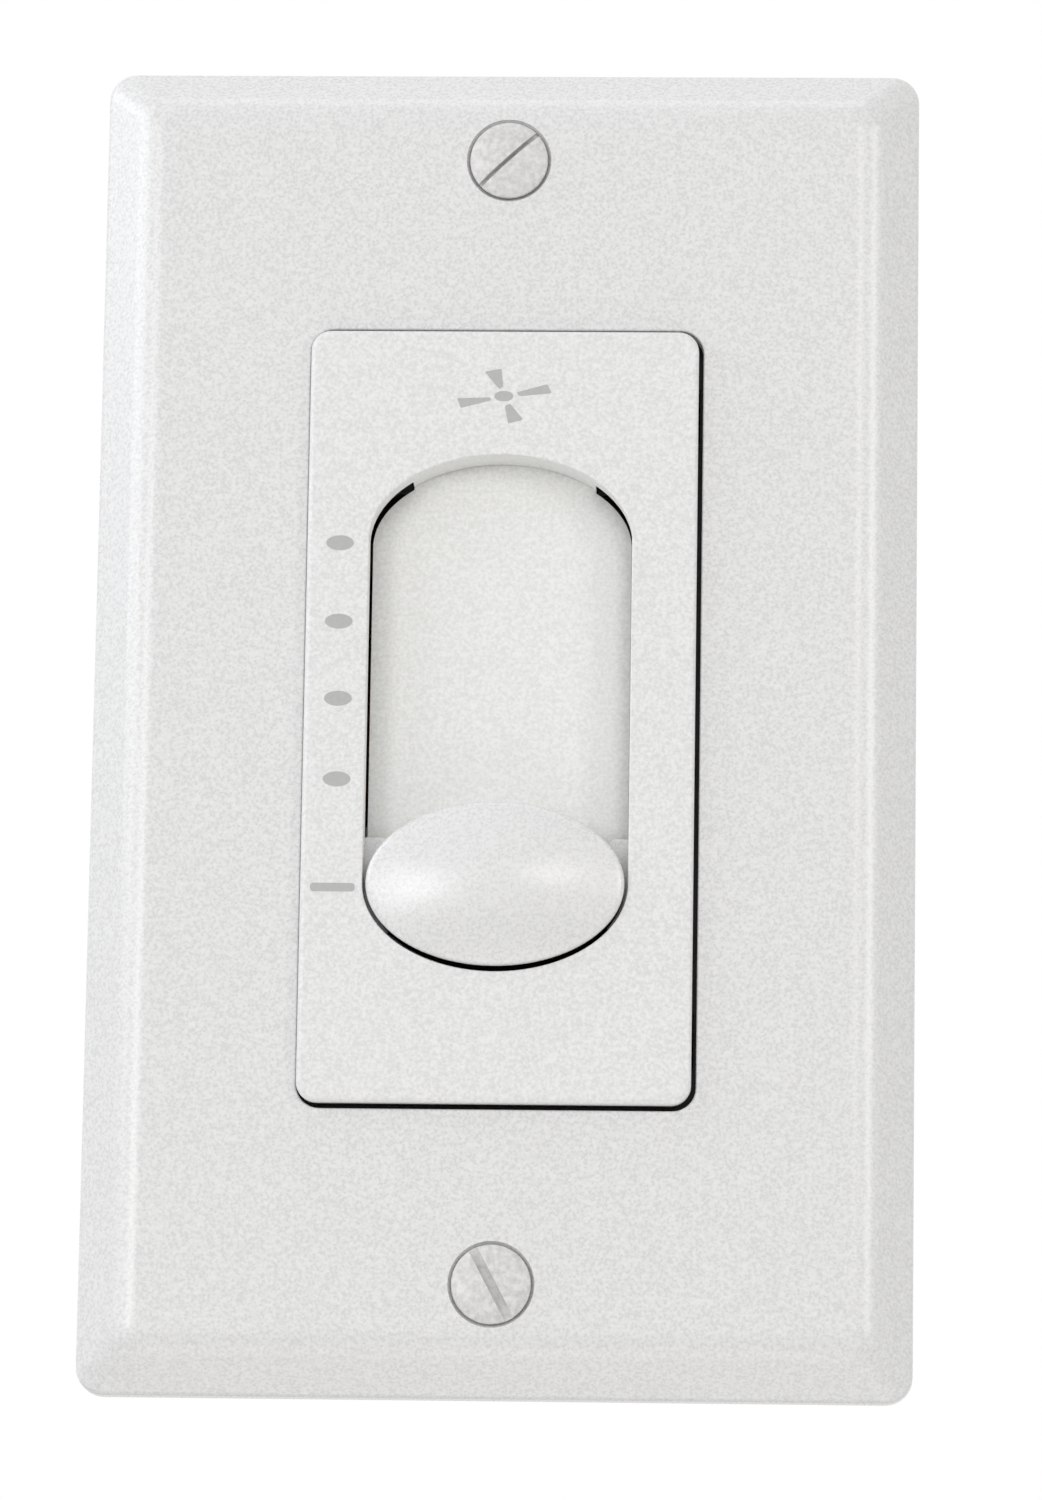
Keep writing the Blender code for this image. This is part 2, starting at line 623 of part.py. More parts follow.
def make_bezel():
    """Front insert: knob slot, crowned recess floor, side channels, hollows, hooks."""
    half_width = BEZEL_WIDTH / 2
    half_height = BEZEL_HEIGHT / 2
    rings = [at_depth(rounded_rectangle(half_width, half_height, BEZEL_CORNER), BEZEL_BACK)]
    for angle in arc_steps(3):
        inset = BEZEL_EDGE * (1 - cos(angle))
        y = BEZEL_FACE + BEZEL_EDGE * (1 - sin(angle))
        outline = rounded_rectangle(half_width - inset, half_height - inset, BEZEL_CORNER - inset)
        rings.append(at_depth(outline, y))
    bezel = loft("bezel", rings)

    recess = [at_depth(slot_outline(), BEZEL_FACE - RECESS_DEPTH)]
    for angle in arc_steps(4):
        y = FLOOR_EDGE - FLOOR_CROWN * sin(angle)
        recess.append(at_depth(slot_outline(FLOOR_CROWN_WIDTH * (1 - cos(angle))), y))
    cut(bezel, loft("bezel_recess", recess))

    channel_reach = SLIDE_REACH + KNOB_END_GAP
    channel_z = (SLOT_RISE - channel_reach, SLOT_RISE + channel_reach)
    past_back = BEZEL_BACK + FLOOR_THICKNESS
    island_outline = slot_outline(FLOOR_SLIT, FLOOR_SLIT)
    island = sheet("bezel_island", island_outline, (BEZEL_FACE, past_back + FLOOR_THICKNESS))
    for name, side in (("right", 1), ("left", -1)):
        x = sorted((side * BRIDGE_HALF_WIDTH, side * CHANNEL_OUTER))
        channel = box("bezel_channel_" + name, x, (LIP_BACK, past_back), channel_z)
        cut(channel, island)
        cut(bezel, channel)

    slot_top = SLOT_RISE + KNOB_TRAVEL / 2 + SLOT_END
    slot_bottom = SLOT_RISE - KNOB_TRAVEL / 2 - SLOT_END
    hollow_x = (BEZEL_WALL - half_width, half_width - BEZEL_WALL)
    for name, z in (
        ("top", (slot_top + BEZEL_WALL, half_height - BEZEL_WALL)),
        ("bottom", (BEZEL_WALL - half_height, slot_bottom - BEZEL_WALL)),
    ):
        cut(bezel, box("bezel_hollow_" + name, hollow_x, (LIP_BACK, past_back), z))

    hook_end = STRAP_BACK + SEAT_GAP + HOOK_THICKNESS
    for side in (1, -1):
        for z in (HOOK_Z, -HOOK_Z):
            tag = "_%d_%d" % (side > 0, z > 0)
            reach = (z - HOOK_WIDTH / 2, z + HOOK_WIDTH / 2)
            stem_x = sorted((side * HOOK_INNER, side * HOOK_OUTER))
            barb_x = sorted((side * (HOOK_INNER + HOOK_OUTER) / 2, side * (HOOK_OUTER + HOOK_BARB)))
            stem = box("bezel_hook" + tag, stem_x, (LIP_BACK - LIP_THICKNESS / 2, hook_end), reach)
            barb = box("bezel_barb" + tag, barb_x, (STRAP_BACK + SEAT_GAP, hook_end - JOIN_STEP), reach)
            join(bezel, stem, barb)
    claim(bezel, WHITE_PLASTIC)


def make_slider_axis():
    """The empty that the knob and everything it drags along hang from."""
    axis = bpy.data.objects.new("slider_axis", None)
    axis.location = (0, 0, KNOB_REST_Z)
    PARTS.objects.link(axis)
    return axis


def carry(made, finish, axis):
    """Claims a moving piece, and takes its cutters along with the slider."""
    for step in made.modifiers:
        if step.type == "BOOLEAN":
            step.object.parent = axis
    claim(made, finish, axis)


def make_knob(axis):
    """Elliptical domed cap, hollow behind, with two cheeks and legs that reach the carriage."""
    rings = [at_depth(ellipse(KNOB_HALF_WIDTH, KNOB_HALF_HEIGHT), y) for y in (KNOB_UNDER, KNOB_EDGE)]
    for angle in arc_steps(6)[1:-1]:
        share = cos(angle)
        y = KNOB_EDGE - KNOB_DOME * (1 - share**2)
        rings.append(at_depth(ellipse(KNOB_HALF_WIDTH * share, KNOB_HALF_HEIGHT * share), y))
    knob = loft("knob", rings)
    inner = ellipse(KNOB_HALF_WIDTH - KNOB_WALL, KNOB_HALF_HEIGHT - KNOB_WALL)
    depths = (KNOB_EDGE + KNOB_RIM, KNOB_UNDER + KNOB_BASE)
    hollow = loft("knob_hollow", [at_depth(inner, y) for y in depths])
    height = (-CHEEK_HALF_HEIGHT, CHEEK_HALF_HEIGHT)
    barb_front = WING_BACK + SEAT_GAP
    for name, side in (("right", 1), ("left", -1)):
        cheek_x = sorted((side * CHEEK_INNER, side * LEG_OUTER))
        leg_x = sorted((side * LEG_INNER, side * LEG_OUTER))
        barb_x = sorted((side * (LEG_INNER + LEG_OUTER) / 2, side * (LEG_OUTER + LEG_BARB)))
        cheek = box("knob_cheek_" + name, cheek_x, (CHEEK_FRONT, KNOB_UNDER), height)
        leg = box("knob_leg_" + name, leg_x, (CHEEK_FRONT + KNOB_BASE / 4, barb_front + KNOB_BASE), height)
        barb_z = (-CHEEK_HALF_HEIGHT / 2, CHEEK_HALF_HEIGHT / 2)
        barb = box("knob_barb_" + name, barb_x, (barb_front, barb_front + KNOB_BASE / 2), barb_z)
        join(knob, cheek, leg, barb)
    cut(knob, hollow)
    carry(knob, WHITE_PLASTIC, axis)


# Mounting strap and its screws


def make_yoke():
    """Pressed strap: wide body with the window, necks, and ears that meet the wall."""
    body = STRAP_BODY_HALF_WIDTH
    tall = STRAP_BODY_HALF_HEIGHT
    neck = STRAP_NECK_HALF_WIDTH
    outline = []
    for side in (1, -1):
        outline += [
            (side * body, side * (STRAP_SHOULDER - tall)),
            (side * body, side * (tall - STRAP_SHOULDER)),
            (side * neck, side * tall),
            (side * neck, side * NECK_END),
            (-side * neck, side * NECK_END),
            (-side * neck, side * tall),
        ]
    window_width = LEG_OUTER + WINDOW_MARGIN
    window_height = SLIDE_REACH + WINDOW_MARGIN
    window_z = (SLOT_RISE - window_height, SLOT_RISE + window_height)
    holes = [rectangle((-window_width, window_width), window_z)]
    for side in (1, -1):
        for z in (HOOK_Z, -HOOK_Z):
            x = sorted((side * (HOOK_INNER - SEAT_GAP), side * (HOOK_OUTER + SEAT_GAP)))
            reach = HOOK_WIDTH / 2 + SEAT_GAP
            holes.append(rectangle(x, (z - reach, z + reach)))
            lug = (side * LUG_X, LUG_Z if z > 0 else -LUG_Z)
            holes.append(circle(LUG_SCREW_RADIUS + SCREW_HOLE_GAP, lug))
    for z in (BOX_SCREW_Z, -BOX_SCREW_Z):
        holes.append(oblong(BOX_SLOT_PLAY, BOX_SCREW_RADIUS + SCREW_HOLE_GAP, (0, z)))
    holes.append(circle(GROUND_SHANK_RADIUS + SCREW_HOLE_GAP, (GROUND_X, GROUND_Z)))
    yoke = sheet("yoke", outline, (STRAP_FRONT, STRAP_BACK), holes)
    for name, side in (("top", 1), ("bottom", -1)):
        ear_z = sorted((side * EAR_INNER, side * EAR_END))
        hole = circle(COVER_SHANK_RADIUS + SCREW_HOLE_GAP, (0, side * COVER_SCREW_Z))
        ear_outline = rounded_rectangle(
            EAR_HALF_WIDTH,
            (ear_z[1] - ear_z[0]) / 2,
            STRAP_THICKNESS,
            (0, (ear_z[0] + ear_z[1]) / 2),
        )
        join(yoke, sheet("yoke_ear_" + name, ear_outline, (EAR_FRONT, 0), [hole]))
    claim(yoke, STEEL)


def screw_profile(head_radius, head_height, shank_radius, length):
    """A pan head above z = 0 and a plain shank below it."""
    soft = head_height / 3
    return [
        (0.0, head_height),
        (head_radius - soft, head_height),
        (head_radius, head_height - soft),
        (head_radius, 0.0),
        (shank_radius, 0.0),
        (shank_radius, -length),
        (0.0, -length),
    ]


def make_pan_screw(name, profile, location, rotation, finish, slot):
    """A pan-head screw with a straight slot of a given width across its head."""
    screw = turned(name, profile, location, rotation)
    reach = 2 * profile[2][0]
    top = profile[0][1]
    groove = box(name + "_slot", (-reach, reach), (-slot / 2, slot / 2), (top - slot, 2 * top))
    groove.location = location
    groove.rotation_euler = rotation
    cut(screw, groove)
    claim(screw, finish)


def make_strap_screws():
    facing_front = (pi / 2, 0, 0)
    facing_back = (-pi / 2, 0, 0)
    box_profile = screw_profile(BOX_HEAD_RADIUS, BOX_HEAD_HEIGHT, BOX_SCREW_RADIUS, BOX_SCREW_LENGTH)
    for name, side in (("top", 1), ("bottom", -1)):
        z = side * BOX_SCREW_Z
        place = (0, STRAP_FRONT - SEAT_GAP, z)
        make_pan_screw("box_screw_" + name, box_profile, place, facing_front, STEEL, BOX_SCREW_RADIUS / 2)
        square = rectangle((-RETAINER_HALF, RETAINER_HALF), (z - RETAINER_HALF, z + RETAINER_HALF))
        hole = circle(BOX_SCREW_RADIUS + RETAINER_GRIP, (0, z), ROUND_SIDES)
        front = STRAP_BACK + SEAT_GAP
        claim(sheet("screw_retainer_" + name, square, (front, front + RETAINER_THICKNESS), [hole]), FIBRE)
    lug_profile = screw_profile(LUG_HEAD_RADIUS, LUG_HEAD_HEIGHT, LUG_SCREW_RADIUS, LUG_SCREW_LENGTH)
    places = [(x, z) for z in (LUG_Z, -LUG_Z) for x in (-LUG_X, LUG_X)]
    for number, (x, z) in enumerate(places, 1):
        place = (x, STRAP_FRONT - SEAT_GAP, z)
        name = "housing_screw_%d" % number
        make_pan_screw(name, lug_profile, place, facing_front, STEEL, LUG_SCREW_RADIUS / 2)
    reach = SEAT_GAP + STRAP_THICKNESS + GROUND_HEAD_HEIGHT / 2
    ground = screw_profile(GROUND_HEAD_RADIUS, GROUND_HEAD_HEIGHT, GROUND_SHANK_RADIUS, reach)
    place = (GROUND_X, STRAP_BACK + SEAT_GAP, GROUND_Z)
    make_pan_screw("ground_screw", ground, place, facing_back, GREEN_PAINT, GROUND_SHANK_RADIUS / 2)


# Sliding carriage, springs and contacts


def make_carriage(axis):
    """Block that runs between the strap and the case rails, with a socket for each knob leg."""
    wide = INNER_HALF_WIDTH - RUN_GAP
    height = (-CARRIAGE_HALF_HEIGHT, CARRIAGE_HALF_HEIGHT)
    carriage = box("slider_carriage", (-wide, wide), (CARRIAGE_FRONT, WING_BACK), height)
    hub_height = (-HUB_HALF_HEIGHT, HUB_HALF_HEIGHT)
    hub_depth = (WING_BACK - HUB_STEP, HUB_BACK)
    join(carriage, box("carriage_hub", (-HUB_HALF_WIDTH, HUB_HALF_WIDTH), hub_depth, hub_height))
    reach = CHEEK_HALF_HEIGHT + LEG_SOCKET_GAP
    for name, side in (("right", 1), ("left", -1)):
        x = sorted((side * (LEG_INNER - LEG_SOCKET_GAP), side * (LEG_OUTER + LEG_SOCKET_GAP)))
        depth = (CARRIAGE_FRONT - HUB_STEP, 2 * HUB_BACK)
        cut(carriage, box("carriage_socket_" + name, x, depth, (-reach, reach)))
    carry(carriage, NYLON, axis)


def bowed_strip(name, x, front, tip, half_length):
    """A leaf spring across X: flat ends and a bowed middle that reaches a tip depth."""

    def curve_line(offset):
        rise = tip - front - SPRING_THICKNESS
        line = []
        for i in range(SPRING_STEPS + 1):
            u = 2 * i / SPRING_STEPS - 1
            lift = max(0.0, cos(pi / 2 * min(1.0, abs(u) / SPRING_BOW_SHARE)))
            line.append((front + offset + rise * lift, half_length * u))
        return line

    section = curve_line(0.0) + list(reversed(curve_line(SPRING_THICKNESS)))
    rings = [[Vector((place, y, z)) for y, z in section] for place in x]
    return loft(name, rings)


def make_springs(axis):
    wiper = bowed_strip(
        "contact_wiper", (-WIPER_HALF_WIDTH, WIPER_HALF_WIDTH), WIPER_FRONT, WIPER_TIP, WIPER_HALF_LENGTH
    )
    fork = box(
        "wiper_fork",
        (-WIPER_FORK, WIPER_FORK),
        (WIPER_FRONT - WIPER_BOW, WIPER_TIP + WIPER_BOW),
        (-WIPER_HALF_LENGTH / 2, 2 * WIPER_HALF_LENGTH),
    )
    cut(wiper, fork)
    carry(wiper, BRASS, axis)
    x = (DETENT_INNER, DETENT_OUTER)
    spring = bowed_strip("detent_spring", x, DETENT_FRONT, DETENT_TIP, DETENT_SPRING_HALF_LENGTH)
    carry(spring, STEEL, axis)


def stakes(made, places):
    """Pins that hold a contact or strip in the board."""
    for number, place in enumerate(places, 1):
        pin = rod(
            "%s_stake_%d" % (made.name, number),
            CONTACT_STAKE_RADIUS,
            place,
            (STRIP_BACK - CONTACT_THICKNESS / 2, BOARD_BACK),
            SMALL_SIDES,
        )
        join(made, pin)


def rail_stakes():
    """The rail has a pin at each end and one in the middle."""
    return [(-CONTACT_X, SLOT_RISE + share * KNOB_TRAVEL / 2) for share in (-1, 0, 1)]


def strip_stakes():
    return [(DETENT_X, SLOT_RISE + side * (KNOB_TRAVEL - SPEED_PITCH) / 2) for side in (-1, 1)]


def make_contacts():
    depth = (CONTACT_FRONT, CONTACT_FRONT + CONTACT_THICKNESS)
    x = (CONTACT_X - CONTACT_HALF_WIDTH, CONTACT_X + CONTACT_HALF_WIDTH)
    for number, z in enumerate(reversed(SPEED_Z), 1):
        reach = (z - CONTACT_HALF_LENGTH, z + CONTACT_HALF_LENGTH)
        contact = box("speed_contact_%d" % number, x, depth, reach)
        stakes(contact, [(CONTACT_X, z)])
        claim(contact, BRASS)
    reach = KNOB_TRAVEL / 2 + WIPER_HALF_LENGTH / 2
    x = (-CONTACT_X - CONTACT_HALF_WIDTH, -CONTACT_X + CONTACT_HALF_WIDTH)
    rail = box("common_rail", x, depth, (SLOT_RISE - reach, SLOT_RISE + reach))
    stakes(rail, rail_stakes())
    claim(rail, BRASS)


def make_detent_strip():
    """Notched strip on the board: one notch for OFF and one for each speed."""
    reach = KNOB_TRAVEL / 2 + DETENT_SPRING_HALF_LENGTH
    low = SLOT_RISE - reach
    high = SLOT_RISE + reach
    section = [(STRIP_BACK, high), (STRIP_BACK, low), (STRIP_FRONT, low)]
    for z in [KNOB_REST_Z] + list(reversed(SPEED_Z)):
        section += [
            (STRIP_FRONT, z - DETENT_NOTCH_HALF),
            (STRIP_FRONT + DETENT_NOTCH_DEPTH, z),
            (STRIP_FRONT, z + DETENT_NOTCH_HALF),
        ]
    section.append((STRIP_FRONT, high))
    sides = (DETENT_INNER, DETENT_OUTER)
    strip = loft("detent_strip", [[Vector((x, y, z)) for y, z in section] for x in sides])
    stakes(strip, strip_stakes())
    claim(strip, NYLON)


# Circuit board and components


def capacitor_pins(x):
    reach = CAPACITOR_LENGTH / 2 - CAPACITOR_PIN_INSET
    return [(x, CAPACITOR_Z - reach), (x, CAPACITOR_Z + reach)]


def resistor_pins(z):
    reach = RESISTOR_LENGTH / 2 + RESISTOR_LEAD
    return [(RESISTOR_X - reach, z), (RESISTOR_X + reach, z)]


def make_board():
    outline = rectangle((-BOARD_HALF_WIDTH, BOARD_HALF_WIDTH), (-BOARD_HALF_HEIGHT, BOARD_HALF_HEIGHT))
    pins = capacitor_pins(LARGE_X) + capacitor_pins(SMALL_X)
    for z in RESISTOR_Z:
        pins += resistor_pins(z)
    pegs = [(CONTACT_X, z) for z in SPEED_Z] + rail_stakes() + strip_stakes()
    holes = [circle(PIN_RADIUS + PIN_HOLE_GAP, pin) for pin in pins]
    holes += [circle(CONTACT_STAKE_RADIUS + PIN_HOLE_GAP, peg) for peg in pegs]
    holes += [circle(BOARD_SCREW_RADIUS + SCREW_HOLE_GAP, place) for place in board_posts()]
    claim(sheet("circuit_board", outline, (BOARD_FRONT, BOARD_BACK), holes), BOARD_RESIN)


def board_posts():
    return [(POST_LEFT, POST_Z), (POST_RIGHT, -POST_Z)]


def make_capacitor(name, x, width):
    """Film capacitor: a rounded block with two pins through the board."""
    half = CAPACITOR_LENGTH / 2
    case = box(
        name,
        (x - width / 2, x + width / 2),
        (COMPONENT_FRONT, COMPONENT_FRONT + CAPACITOR_HEIGHT),
        (CAPACITOR_Z - half, CAPACITOR_Z + half),
    )
    soften = case.modifiers.new("soften", "BEVEL")
    soften.width = CAPACITOR_ROUND
    soften.segments = 2
    for number, place in enumerate(capacitor_pins(x), 1):
        depth = (BOARD_FRONT - PIN_PROUD, COMPONENT_FRONT + CAPACITOR_ROUND * 2)
        join(case, rod("%s_pin_%d" % (name, number), PIN_RADIUS, place, depth, SMALL_SIDES))
    claim(case, CAPACITOR_CASE)


def make_resistor(name, z):
    """Bleed resistor: a waisted body on one bent wire that passes through the board."""
    half = RESISTOR_LENGTH / 2
    profile = [
        (0.0, half),
        (RESISTOR_WAIST, half),
        (RESISTOR_RADIUS, half - RESISTOR_CAP / 3),
        (RESISTOR_RADIUS, half - RESISTOR_CAP),
        (RESISTOR_WAIST, half - RESISTOR_CAP * 4 / 3),
    ]
    profile += [(radius, -height) for radius, height in reversed(profile)]
    body = turned(name, profile, (RESISTOR_X, RESISTOR_Y, z), (0, pi / 2, 0))
    wire = bpy.data.curves.new(name + "_wire", "CURVE")
    wire.dimensions = "3D"
    wire.bevel_depth = PIN_RADIUS
    wire.bevel_resolution = 2
    wire.use_fill_caps = True
    (left, _), (right, _) = resistor_pins(z)
    end = BOARD_FRONT - PIN_PROUD
    route = [(left, end, z), (left, RESISTOR_Y, z), (right, RESISTOR_Y, z), (right, end, z)]
    spline = wire.splines.new("POLY")
    spline.points.add(len(route) - 1)
    for point, place in zip(spline.points, route):
        point.co = (*place, 1)
    guide = bpy.data.objects.new(name + "_route", wire)
    join(body, curve_to_mesh(name + "_lead", guide))
    claim(body, RESISTOR_COAT)


def make_board_screws():
    profile = screw_profile(
        BOARD_SCREW_HEAD_RADIUS, BOARD_SCREW_HEAD_HEIGHT, BOARD_SCREW_RADIUS, BOARD_SCREW_LENGTH
    )
    for number, (x, z) in enumerate(board_posts(), 1):
        place = (x, BOARD_FRONT - SEAT_GAP, z)
        name = "board_screw_%d" % number
        make_pan_screw(name, profile, place, (pi / 2, 0, 0), STEEL, BOARD_SCREW_RADIUS / 2)


# Rear case and terminals


def make_housing():
    """Moulded case: outer block with lugs, cut by an inner space that leaves rails, posts and niches."""
    half_width = HOUSING_WIDTH / 2
    half_height = HOUSING_HEIGHT / 2
    rings = [at_depth(rounded_rectangle(half_width, half_height, HOUSING_CORNER), HOUSING_FRONT)]
    for inset, y in ((0.0, HOUSING_BACK - HOUSING_EDGE), (HOUSING_EDGE, HOUSING_BACK)):
        corner = HOUSING_CORNER - inset / 2
        rings.append(at_depth(rounded_rectangle(half_width - inset, half_height - inset, corner), y))
    housing = loft("housing", rings)
    inside_wall = half_height - HOUSING_WALL / 2
    for number, (sx, sz) in enumerate(((1, 1), (-1, 1), (-1, -1), (1, -1)), 1):
        middle = (sx * LUG_X, sz * LUG_Z)
        tab = [(middle[0] + sx * sz * LUG_RADIUS, sz * inside_wall)]
        for step in range(SMALL_SIDES // 2 + 1):
            angle = pi * step / (SMALL_SIDES // 2)
            x = middle[0] + sx * sz * LUG_RADIUS * cos(angle)
            tab.append((x, middle[1] + sz * LUG_RADIUS * sin(angle)))
        tab.append((middle[0] - sx * sz * LUG_RADIUS, sz * inside_wall))
        depth = (HOUSING_FRONT + JOIN_STEP, HOUSING_FRONT + LUG_THICKNESS)
        join(housing, sheet("housing_lug_%d" % number, tab, depth))

    space = box(
        "housing_space",
        (-INNER_HALF_WIDTH, INNER_HALF_WIDTH),
        (HOUSING_FRONT - HOUSING_WALL, HOUSING_FLOOR),
        (-INNER_HALF_HEIGHT, INNER_HALF_HEIGHT),
    )
    rail_z = (-HOUSING_HEIGHT, HOUSING_HEIGHT)
    for name, side in (("right", 1), ("left", -1)):
        x = sorted((side * (INNER_HALF_WIDTH - RAIL_WIDTH), side * half_width))
        cut(space, box("housing_rail_" + name, x, (RAIL_FRONT, RAIL_FRONT + RAIL_THICKNESS), rail_z))
    for number, place in enumerate(board_posts(), 1):
        depth = (COMPONENT_FRONT, HOUSING_BACK)
        cut(space, rod("housing_post_%d" % number, BOARD_POST_RADIUS, place, depth, SMALL_SIDES))
    for name, z in (("line", TERMINAL_Z), ("load", -TERMINAL_Z)):
        outer = NICHE_HALF_HEIGHT + HOUSING_WALL
        reach = (z - outer, z + outer)
        wall = box("niche_wall_" + name, (NICHE_INNER, half_width), (COMPONENT_FRONT, HOUSING_BACK), reach)
        cut(space, wall)
    cut(housing, space)

    for name, z in (("line", TERMINAL_Z), ("load", -TERMINAL_Z)):
        reach = (z - NICHE_HALF_HEIGHT, z + NICHE_HALF_HEIGHT)
        niche = box("niche_" + name, (NICHE_FLOOR, HOUSING_WIDTH), (NICHE_Y, 2 * HOUSING_BACK), reach)
        tail = TERMINAL_TAIL_HALF + SEAT_GAP
        way = box(
            "niche_way_" + name,
            (NICHE_FLOOR, TERMINAL_X + TERMINAL_THICKNESS + SEAT_GAP),
            (COMPONENT_FRONT - SEAT_GAP, NICHE_Y + SEAT_GAP),
            (z - tail, z + tail),
        )
        cut(housing, niche, way, terminal_bore("niche_bore_" + name, z))
    for number, place in enumerate(board_posts(), 1):
        depth = (COMPONENT_FRONT - SEAT_GAP, COMPONENT_FRONT + BOARD_SCREW_LENGTH)
        radius = BOARD_SCREW_RADIUS + SCREW_HOLE_GAP
        cut(housing, rod("post_bore_%d" % number, radius, place, depth, SMALL_SIDES))
    for number, (sx, sz) in enumerate(((1, 1), (-1, 1), (-1, -1), (1, -1)), 1):
        place = (sx * LUG_X, sz * LUG_Z)
        depth = (HOUSING_FRONT - HOUSING_WALL, HOUSING_FRONT + 2 * LUG_THICKNESS)
        radius = LUG_SCREW_RADIUS + SCREW_HOLE_GAP
        cut(housing, rod("lug_bore_%d" % number, radius, place, depth, SMALL_SIDES))
    claim(housing, BLACK_PLASTIC)


def terminal_bore(name, z):
    """A bore along X for a terminal screw, through its plate and the floor of its niche."""
    x = (NICHE_INNER - HOUSING_WALL, TERMINAL_X + 2 * TERMINAL_THICKNESS)
    middle = Matrix.Translation(((x[0] + x[1]) / 2, TERMINAL_Y, z))
    turn = Matrix.Rotation(pi / 2, 4, "Y")
    bm = bmesh.new()
    bmesh.ops.create_cone(
        bm,
        cap_ends=True,
        segments=SMALL_SIDES,
        radius1=TERMINAL_SCREW_RADIUS + SCREW_HOLE_GAP,
        radius2=TERMINAL_SCREW_RADIUS + SCREW_HOLE_GAP,
        depth=x[1] - x[0],
        matrix=middle @ turn,
    )
    return mesh_object(name, bm)


def make_terminals():
    """A brass plate in each niche, its tail at the board's edge, and its binding screw."""
    x = (TERMINAL_X, TERMINAL_X + TERMINAL_THICKNESS)
    shank = SEAT_GAP + TERMINAL_THICKNESS + SEAT_GAP + HOUSING_WALL
    profile = screw_profile(TERMINAL_HEAD_RADIUS, TERMINAL_HEAD_HEIGHT, TERMINAL_SCREW_RADIUS, shank)
    for name, z in (("line", TERMINAL_Z), ("load", -TERMINAL_Z)):
        near = (TERMINAL_Y - TERMINAL_HALF, TERMINAL_Y + TERMINAL_HALF)
        plate = box("terminal_plate_" + name, x, near, (z - TERMINAL_HALF, z + TERMINAL_HALF))
        tail_z = (z - TERMINAL_TAIL_HALF, z + TERMINAL_TAIL_HALF)
        tail_y = (COMPONENT_FRONT, TERMINAL_Y - TERMINAL_HALF / 2)
        join(plate, box("terminal_tail_" + name, x, tail_y, tail_z))
        cut(plate, terminal_bore("terminal_bore_" + name, z))
        claim(plate, BRASS)
        place = (x[1] + SEAT_GAP, TERMINAL_Y, z)
        screw = "terminal_screw_" + name
        make_pan_screw(screw, profile, place, (0, pi / 2, 0), BRASS, TERMINAL_SCREW_RADIUS / 2)


make_wallplate()
make_cover_screw("wallplate_screw_top", COVER_SCREW_Z, COVER_SLOT_ANGLE_TOP)
make_cover_screw("wallplate_screw_bottom", -COVER_SCREW_Z, COVER_SLOT_ANGLE_BOTTOM)
make_bezel()
slider = make_slider_axis()
make_knob(slider)
make_yoke()
make_strap_screws()
make_carriage(slider)
make_springs(slider)
make_contacts()
make_detent_strip()
make_board()
make_capacitor("capacitor_large", LARGE_X, LARGE_RIGHT - LARGE_LEFT)
make_capacitor("capacitor_small", SMALL_X, CAPACITOR_SMALL_WIDTH)
for count, height in enumerate(RESISTOR_Z, 1):
    make_resistor("bleed_resistor_%d" % count, height)
make_board_screws()
make_housing()
make_terminals()
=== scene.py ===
# %% [markdown]
# # A slide fan-speed control, dressed over its CAD frame
#
# The real object is a white wall control: a bevelled cover plate, a front insert with a
# rounded slot, and an oval knob that slides up the slot. Behind the cover are a steel
# strap and a black case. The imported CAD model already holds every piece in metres, so it
# is loaded as a fixed frame. The pieces that show most are modelled again over their own
# nodes, and the others keep their CAD shape and get a material.

# %% Load the CAD frame
import json
from math import cos, pi, radians, sin

import bmesh
import bpy
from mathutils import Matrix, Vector


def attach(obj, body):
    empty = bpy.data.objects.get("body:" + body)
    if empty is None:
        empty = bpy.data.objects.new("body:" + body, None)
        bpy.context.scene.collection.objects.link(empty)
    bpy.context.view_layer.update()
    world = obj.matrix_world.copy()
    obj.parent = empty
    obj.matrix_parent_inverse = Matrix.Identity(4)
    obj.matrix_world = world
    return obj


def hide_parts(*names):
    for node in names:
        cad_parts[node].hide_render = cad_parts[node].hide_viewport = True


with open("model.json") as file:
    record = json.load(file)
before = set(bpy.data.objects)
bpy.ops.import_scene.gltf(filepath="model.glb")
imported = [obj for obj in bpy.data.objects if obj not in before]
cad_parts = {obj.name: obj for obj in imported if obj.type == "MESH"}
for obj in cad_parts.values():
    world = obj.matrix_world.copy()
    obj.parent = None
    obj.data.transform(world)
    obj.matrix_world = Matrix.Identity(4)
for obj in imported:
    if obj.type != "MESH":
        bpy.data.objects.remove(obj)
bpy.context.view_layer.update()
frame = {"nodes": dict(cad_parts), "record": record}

MM = 0.001

# %% [markdown]
# ## Camera
#
# The photograph is taken through a long lens, from a little below and to the right. Its
# place could be guessed by eye, but the cover is known to be 69.85 x 114.3 mm, so the lens,
# the place and the turn were solved from its corners, its screws and the insert's edges.

# %% The photograph's camera
# The lens and the place are in millimetres, and the turn is in degrees.
PHOTO_LENS = 172.69
CAMERA_PLACE = (27.815, -599.67, -118.45)
CAMERA_TURN = (100.998, -0.884, 2.336)

photo_camera = bpy.data.cameras.new("photo_camera")
photo_camera.lens = PHOTO_LENS
photo_camera.clip_start = 0.01
camera_stand = bpy.data.objects.new("photo_camera", photo_camera)
camera_stand.location = Vector(CAMERA_PLACE) * MM
camera_stand.rotation_euler = [radians(turn) for turn in CAMERA_TURN]
bpy.context.scene.collection.objects.link(camera_stand)
bpy.context.scene.camera = camera_stand
print("camera at", camera_stand.location[:])

# %% [markdown]
# ## Nodes and colours
#
# Colours are written as sRGB hex values, the way a paint program shows them. Blender mixes
# light in linear numbers, so one function turns a hex value into those. A second one adds
# a shader node, fills its sockets and links it.

